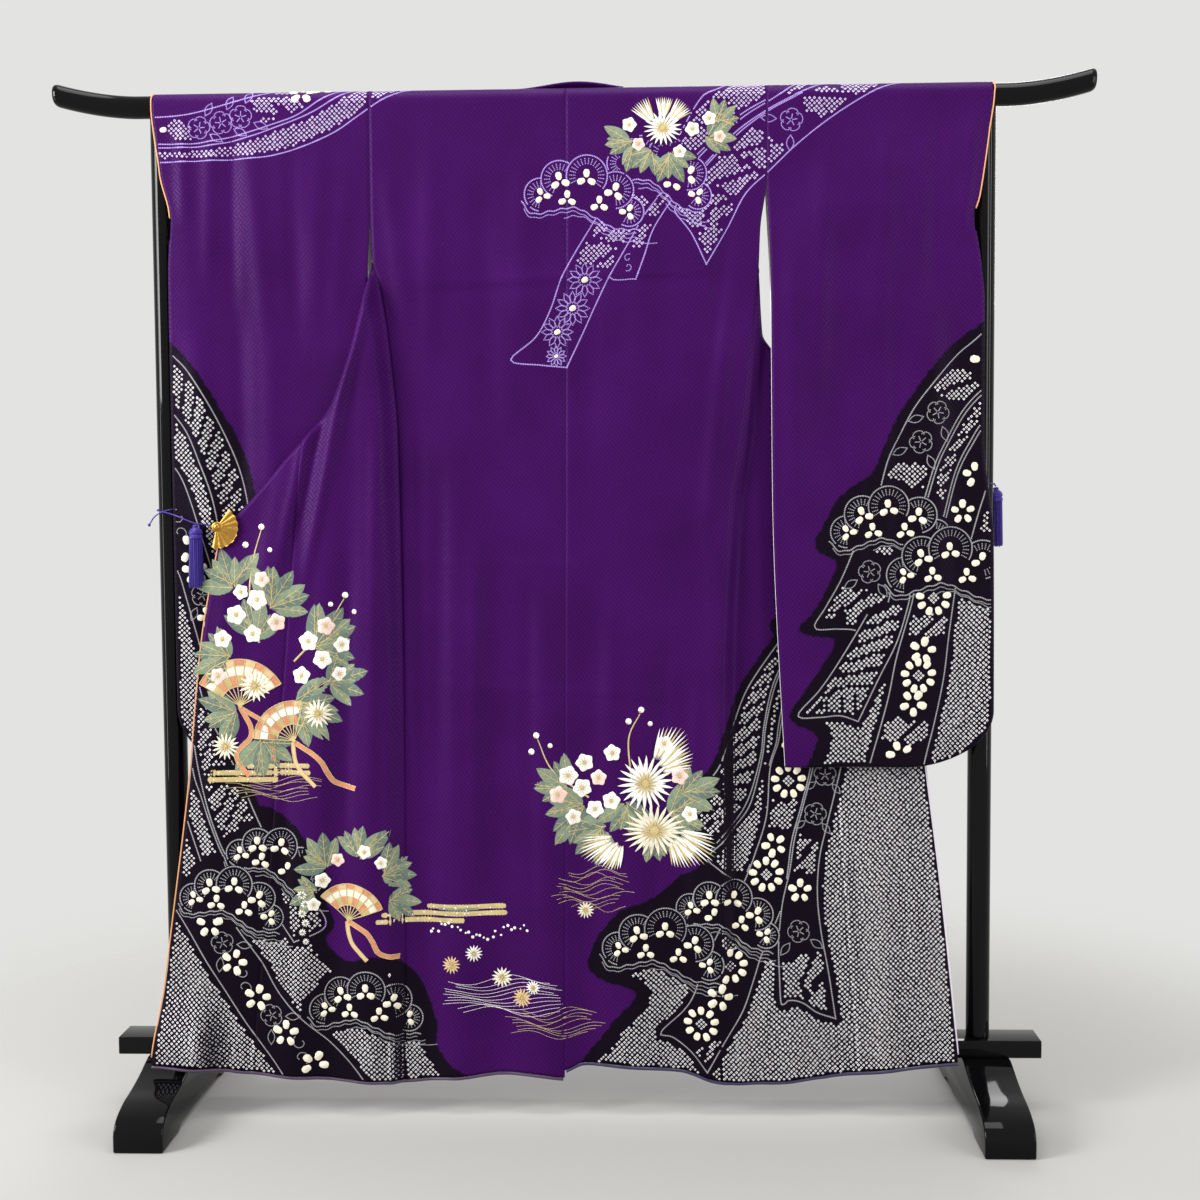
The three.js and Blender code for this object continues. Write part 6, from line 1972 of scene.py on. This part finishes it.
# Raised work on each panel.
embroidery = Raised("body")
for make in (groupUpperLeft, groupLowerLeft, groupRight, groupShoulder, lowerWater):
    make(embroidery)
settle(embroidery.build("embroidery", raisedPaints), "silk")
for canvas in shapes:
    laid = TiedWork(canvas, np.vstack(embroidery.places) if canvas == "body" else [])
    settle(laid.layOut().build("tied" + canvas[0].upper() + canvas[1:], raisedPaints),
                              "silk")
for name, rows in sheets.items():
    extras = {"bodyLeft": ["body", "embroidery"], "sleeveLeft": ["sleeveLeft"],
              "sleeveRight": ["sleeveRight"]}.get(name, [])


# Rolls and lining edges.
trims = {"hemRoll": 2.2, "piping": 1.1}


def hemRollPath(name):
    way = side[name]
    centre = float(read(centreBack, kimono["hemZ"])) + way * 2.6
    seam = float(read(sideEdge[name], kimono["hemZ"]))
    corner = float(read(frontEdge[name], 80))
    under = lambda x: float(read(hemLine[name], x, "x", "z")) - trims["hemRoll"] - 0.5
    path = [(x, float(backY(x, kimono["hemZ"])), under(x)) for x in np.linspace(centre, seam, 40)]
    path += [(x, float(turnedY(name, x, 70)), under(x)) for x in np.linspace(seam, corner, 60)[1:]]
    return evenLine(np.array(path), 4)


def frontPipingPath(name):
    way = side[name]
    clip = kimono["clip"][name]
    path = []
    for share in np.linspace(0.02, 0.985, 90):
        x = float(read(frontEdge[name], mix(clip, 80, share)))
        z = mix(clip, float(read(hemLine[name], x, "x", "z")), share)
        path.append((x + way * (trims["piping"] + 0.8), float(turnedY(name, x, z)), z))
    return evenLine(np.array(path), 5)


def wristPipingPath(name):
    way = side[name]
    out = way * (trims["piping"] + 0.8)
    near, far = [], []
    for z in np.linspace(1425, kimono["barZ"], 24):
        for layer, path in (("near", near), ("far", far)):
            x = float(outerX(name, layer, z))
            path.append((x + out, float(sleeveY(name, layer, 1.0, x, z)), z))
    over = []
    for h in np.linspace(kimono["barZ"], 2 * ridge - kimono["barZ"], 15)[1:-1]:
        x, y, z = overBar(float(outerX(name, "near", kimono["top"])) + out, h, 0.9)
        over.append((float(x), float(y), float(z)))
    return curve3(near[::2] + [near[-1]] + over + far[::-1][::2], 4)


for name in side:
    title = name.title()
    path = hemRollPath(name)
    radius = trims["hemRoll"] * (1 + 0.05 * np.sin(np.arange(len(path)) * 0.7)
                                 * np.sin(np.arange(len(path)) * 0.23))
    settle(gather("hemRoll" + title, [tubeParts(path, radius, 14)],
                  [materials["rollDark" if name == "left" else "rollBlue"]]), "hem_silk", "hem_roll_" + name)
    edging = materials["piping" if name == "left" else "pipingPale"]
    settle(gather("frontPiping" + title, [tubeParts(frontPipingPath(name), trims["piping"], 10)],
                  [edging]), "lining_edge", "front_piping_" + name)
    settle(gather("wristPiping" + title, [tubeParts(wristPipingPath(name), trims["piping"], 10)],
                  [materials["piping"]]), "lining_edge", "wrist_piping_" + name)
print("trims done")


# The stand.
stand = {
    "bar": {"halfLength": 816, "halfDepth": 16, "halfHeight": 17.5, "riseFrom": 680, "rise": 22, "round": 9},
    "post": {"x": 645, "radius": 18.5, "bottom": 118.3, "top": 1598},
    "board": {"halfLength": 741, "halfDepth": 29, "bottom": 90, "top": 118, "edge": 1.6},
    "foot": {"x": 653.4, "width": 76, "toe": 210, "pad": 84, "relief": 9, "edge": 3,
             "top": [(210, 25), (206, 36), (190, 50), (158, 61), (120, 67), (80, 76), (55, 84), (36, 89.7)]},
}


def standBar():
    bar = stand["bar"]
    out = [bar["halfLength"] - x for x in (0, 0.4, 1.4, 3, 5, 7, 9)] + list(np.linspace(800, 680,
        22)) + list(np.linspace(660, 0, 14))
    places = [-x for x in out] + out[:-1][::-1]
    points = []
    around = 56
    for x in places:
        inset = (bar["halfLength"] - abs(x)) / bar["round"]
        share = 1 if inset >= 1 else 0.72 + 0.28 * math.sqrt(1 - (1 - inset) ** 2)
        lift = bar["rise"] * max(0, (abs(x) - bar["riseFrom"]) / (bar["halfLength"] - bar["riseFrom"])) ** 1.8
        for k in range(around):
            a = 2 * math.pi * k / around
            z = kimono["barZ"] + lift + bar["halfHeight"] * share * math.sin(a)
            points.append((x, bar["halfDepth"] * share * math.cos(a), z))
    faces = ringFaces(len(places), around) + caps(len(places), around)
    return gather("standBar", [(points, faces)], [materials["lacquer"]], 40)


def standPost(name):
    post = stand["post"]
    around = 64
    x0 = side[name] * post["x"]
    angles = np.linspace(0, 2 * math.pi, around, endpoint=False)
    rows = [(0.0, post["bottom"], False), (post["radius"] - 0.8, post["bottom"], False),
            (post["radius"], post["bottom"] + 0.8, False)]
    rows += [(post["radius"], z, False) for z in np.linspace(150, 1560, 24)]
    rows += [(r, 0, True) for r in np.linspace(post["radius"], 0, 12)]
    points = []
    for r, z, seat in rows:
        for a in angles:
            y = r * math.sin(a)
            top = min(post["top"], kimono["barZ"] - 17.8 * math.sqrt(max(0, 1 - (y / 16.3) ** 2)))
            points.append((x0 + r * math.cos(a), y, top if seat else z))
    return gather("standPost" + name.title(), [(points, ringFaces(len(rows), around))],
                  [materials["lacquer"]], 40)


def bevelled(name, points, faces, width):
    piece = makeMesh(name, points, faces, [materials["lacquer"]])
    bevel = piece.modifiers.new("bevel", "BEVEL")
    bevel.width = width * mm
    bevel.segments = 4
    bevel.limit_method = "ANGLE"
    bevel.angle_limit = math.radians(35)
    bevel.harden_normals = False
    with bpy.context.temp_override(object=piece, active_object=piece, selected_objects=[piece]):
        bpy.ops.object.modifier_apply(modifier="bevel")
    piece.data.set_sharp_from_angle(angle=math.radians(50))
    return piece


def standBoard():
    board = stand["board"]
    corners = [(x * board["halfLength"], y * board["halfDepth"], z)
               for z in (board["bottom"], board["top"]) for x, y in ((-1, -1), (1, -1), (1, 1), (-1, 1))]
    faces = [(3, 2, 1, 0), (4, 5, 6, 7), (0, 1, 5, 4), (1, 2, 6, 5), (2, 3, 7, 6), (3, 0, 4, 7)]
    return bevelled("standBoard", corners, faces, board["edge"])


def standFoot(name):
    foot = stand["foot"]
    toe, pad, relief = foot["toe"], foot["pad"], foot["relief"]
    rise = curve3([(y, z, 0) for y, z in foot["top"]], 7)[:, :2].tolist()
    outline = [(-toe, 0), (-toe + pad, 0), (-toe + pad + 16, relief), (toe - pad - 16, relief),
               (toe - pad, 0), (toe, 0)]
    outline += [tuple(p) for p in rise] + [(-y, z) for y, z in rise[::-1]]
    n = len(outline)
    x0 = side[name] * foot["x"]
    points = [(x0 + s * foot["width"] / 2, y, z) for s in (-1, 1) for y, z in outline]
    faces = [tuple(range(n))[::-1], tuple(range(n, 2 * n))]
    faces += [(k, (k + 1) % n, n + (k + 1) % n, n + k) for k in range(n)]
    return bevelled("standFoot" + name.title(), points, faces, foot["edge"])


settle(standBar(), "lacquer", "stand_bar")
settle(standBoard(), "lacquer", "stand_board")
for name in side:
    settle(standPost(name), "lacquer", "stand_post_" + name)
    settle(standFoot(name), "lacquer", "stand_foot_" + name)
print("stand done")


# Each clip is a bent strip over the folded edge, a boss, a ring, and a pleated fan.
clips = {
    "left": {"edge": -549, "z": 937, "front": -52.8, "back": -44.1},
    "right": {"edge": 510, "z": 930, "front": -15.4, "back": -7.1},
    "height": 11, "strip": 1.3, "bend": 1.6, "fanRadius": 34, "fanInner": 7, "pleats": 9,
    "pleatDepth": 1.6, "from": 54, "to": -104,
}


def ringParts(centre, radius, thick, around=28):
    a, b = np.array([1.0, 0, 0]), np.array([0, 0, 1.0])
    angle = np.linspace(0, 2 * math.pi, around, endpoint=False)
    axis = np.cross(a, b)
    points, faces = [], []
    for t in angle:
        out = a * math.cos(t) + b * math.sin(t)
        for s in np.linspace(0, 2 * math.pi, 10, endpoint=False):
            points.append((np.array(centre) + out * (radius + thick * math.cos(s)) + axis * thick
                           * math.sin(s)).tolist())
    for i in range(around):
        for k in range(10):
            j, m = (i + 1) % around, (k + 1) % 10
            faces.append((i * 10 + k, i * 10 + m, j * 10 + m, j * 10 + k))
    return points, faces


def bentStrip(path, height, thick, z):
    # a strip that stands on edge, along a line in x and y
    path = np.array(path, float)
    run = np.gradient(path, axis=0)
    run /= np.linalg.norm(run, axis=1, keepdims=True)
    normal = np.stack([-run[:, 1], run[:, 0]], -1) * thick / 2
    section = [(1, -height / 2 + 0.5), (1, height / 2 - 0.5), (0.6, height / 2), (-0.6, height / 2),
               (-1, height / 2 - 0.5), (-1, -height / 2 + 0.5), (-0.6, -height / 2), (0.6, -height / 2)]
    points = [(p[0] + n[0] * s, p[1] + n[1] * s, z + h) for p, n in zip(path, normal) for s, h in section]
    ends = [face[::-1] for face in caps(len(path), len(section))]
    return points, ringFaces(len(path), len(section)) + ends


def clipPiece(name):
    way = side[name]
    place = clips[name]
    edge, front, back = place["edge"], place["front"], place["back"]
    middle = place["z"] + 2
    inside, outside = edge - way * 11, edge + way * 13
    half = clips["strip"] / 2
    bend = clips["bend"]
    angles = np.linspace(0, math.pi / 2, 5)
    turn = [(outside - way * (half + bend - bend * math.sin(a)), front + half + bend - bend * math.cos(a))
            for a in angles]
    turnBack = [(outside - way * (half + bend - bend * math.cos(a)),
                 back - half - bend + bend * math.sin(a)) for a in angles]
    centre = mix(inside, outside, 0.5)
    route = [(inside, front + half), (centre, front + half)] + turn + turnBack + [(centre, back - half),
        (inside, back - half)]
    parts = [bentStrip(route, clips["height"], clips["strip"], middle)]
    boss = (edge + way * 7, front + 0.5, place["z"] + 5)
    # the boss has a round head with a small step, and the fan spreads from under it
    profile = [(0, -6.6), (1.6, -6.5), (3, -6.1), (4, -5.4), (4.6, -4.6), (4.8, -4.2), (6.2, -4.0),
               (7.6, -3.6), (8.2, -3.0), (8.2, -1.6), (5.6, -1.4), (5.6, 0.5), (0, 0.5)]
    parts.append(lathe(profile, 40, boss, 1))
    parts.append(ringParts((outside + way * 2.6, (front + back) / 2, place["z"] + 4), 3.6, 1))
    spokes = clips["pleats"] * 4
    columns, faces, points = [], [], []
    shares = np.linspace(0, 1, 9)
    for i in range(spokes + 1):
        angle = math.radians(mix(clips["from"], clips["to"], i / spokes))
        wave = 0.5 - 0.5 * math.cos(i * math.pi / 2)
        for s in shares:
            r = mix(clips["fanInner"], clips["fanRadius"] - 1.8 * (1 - wave) * s, s)
            depth = clips["pleatDepth"] * wave * r / clips["fanRadius"]
            points.append([boss[0] - way * r * math.cos(angle), boss[1] - 2.6 - depth,
                           boss[2] + r * math.sin(angle)])
    count = len(shares)
    for i in range(spokes):
        for k in range(count - 1):
            faces.append((i * count + k, i * count + k + 1, (i + 1) * count + k + 1, (i + 1) * count + k))
    blade = makeMesh("blade", points, faces, [materials["gilt"]])
    thicken(blade, 0.9)
    parts.append(([tuple(v.co / mm) for v in blade.data.vertices],
                  [tuple(p.vertices) for p in blade.data.polygons]))
    bpy.data.objects.remove(blade)
    # a plain rim along the fan's edge
    rim = []
    for i in range(spokes + 1):
        angle = math.radians(mix(clips["from"], clips["to"], i / spokes))
        wave = 0.5 - 0.5 * math.cos(i * math.pi / 2)
        r = clips["fanRadius"] - 1.8 * (1 - wave)
        rim.append((boss[0] - way * r * math.cos(angle), boss[1] - 2.6 - clips["pleatDepth"] * wave,
                    boss[2] + r * math.sin(angle)))
    parts.append(tubeParts(curve3(rim, 1.2), 0.55, 6))
    return gather("fanClip" + name.title(), parts, [materials["gilt"]], 35)


for name in side:
    settle(clipPiece(name), "gilt", "clip_" + name)
print("clips done")


# Floor, light and sky.
stage = {"floorRadius": 3.2, "fadeFrom": 0.75, "fadeTo": 1.9, "key": 166, "fill": 42, "top": 60,
         "back": 66, "side": 22}


def floorMaterial():
    material, n, shader = newMaterial("floor")
    place = n.add("ShaderNodeTexCoord").outputs["Object"]
    tone = n.noise(place, 1.5, 3.0)
    n.feed(shader.inputs["Base Color"], n.blend(tone, colours["floor"], linear(161, 160, 158)))
    # the floor runs out softly into the backdrop
    away = n.add("ShaderNodeVectorMath", operation="LENGTH")
    n.feed(away.inputs[0], place)
    fade = n.add("ShaderNodeMapRange", interpolation_type="SMOOTHERSTEP", clamp=True)
    for socket, value in zip(fade.inputs, (away.outputs["Value"], stage["fadeFrom"], stage["fadeTo"], 1.0,
                                           0.0)):
        n.feed(socket, value)
    n.feed(shader.inputs["Alpha"], fade.outputs[0])
    shader.inputs["Roughness"].default_value = 0.75
    shader.inputs["Specular IOR Level"].default_value = 0.2
    n.feed(shader.inputs["Normal"], n.bump(n.noise(place, 300.0), 0.03, 0.001))
    return material


floorMesh = bpy.data.meshes.new("floor")
rimAngles = np.linspace(0, 2 * math.pi, 64, endpoint=False)
floorMesh.from_pydata([(stage["floorRadius"] * math.cos(a), stage["floorRadius"] * math.sin(a), 0)
                       for a in rimAngles], [], [tuple(range(64))])
floor = bpy.data.objects.new("floor", floorMesh)
floorMesh.materials.append(floorMaterial())
bpy.context.collection.objects.link(floor)

world = bpy.data.worlds.new("studio")
bpy.context.scene.world = world
world.use_nodes = True
world.node_tree.nodes["Background"].inputs["Color"].default_value = colours["sky"]
world.node_tree.nodes["Background"].inputs["Strength"].default_value = 1.0


def softbox(name, place, target, width, height, power):
    data = bpy.data.lights.new(name, "AREA")
    data.shape = "RECTANGLE"
    data.size = width
    data.size_y = height
    data.energy = power
    lamp = bpy.data.objects.new(name, data)
    bpy.context.collection.objects.link(lamp)
    lamp.location = place
    lamp.rotation_euler = (Vector(target) - Vector(place)).to_track_quat("-Z", "Y").to_euler()


softbox("keyLight", (-3.1, -1.7, 2.2), (0, 0, 0.9), 1.0, 1.8, stage["key"])
softbox("fillLight", (2.7, -2.4, 1.6), (0, 0, 0.9), 0.8, 2.2, stage["fill"])
softbox("sideLeft", (-3.1, -0.9, 1.2), (-0.3, 0, 1.0), 0.22, 2.2, stage["side"])
softbox("sideRight", (3.2, -1.1, 1.2), (0.3, 0, 1.0), 0.22, 2.2, stage["side"])
softbox("topLight", (0, -0.4, 3.6), (0, 0, 0.8), 2.4, 1.6, stage["top"])
softbox("backLight", (0.6, 3.2, 2.4), (0, 0, 0.9), 2.0, 1.6, stage["back"])
bpy.context.scene.view_settings.view_transform = "Standard"
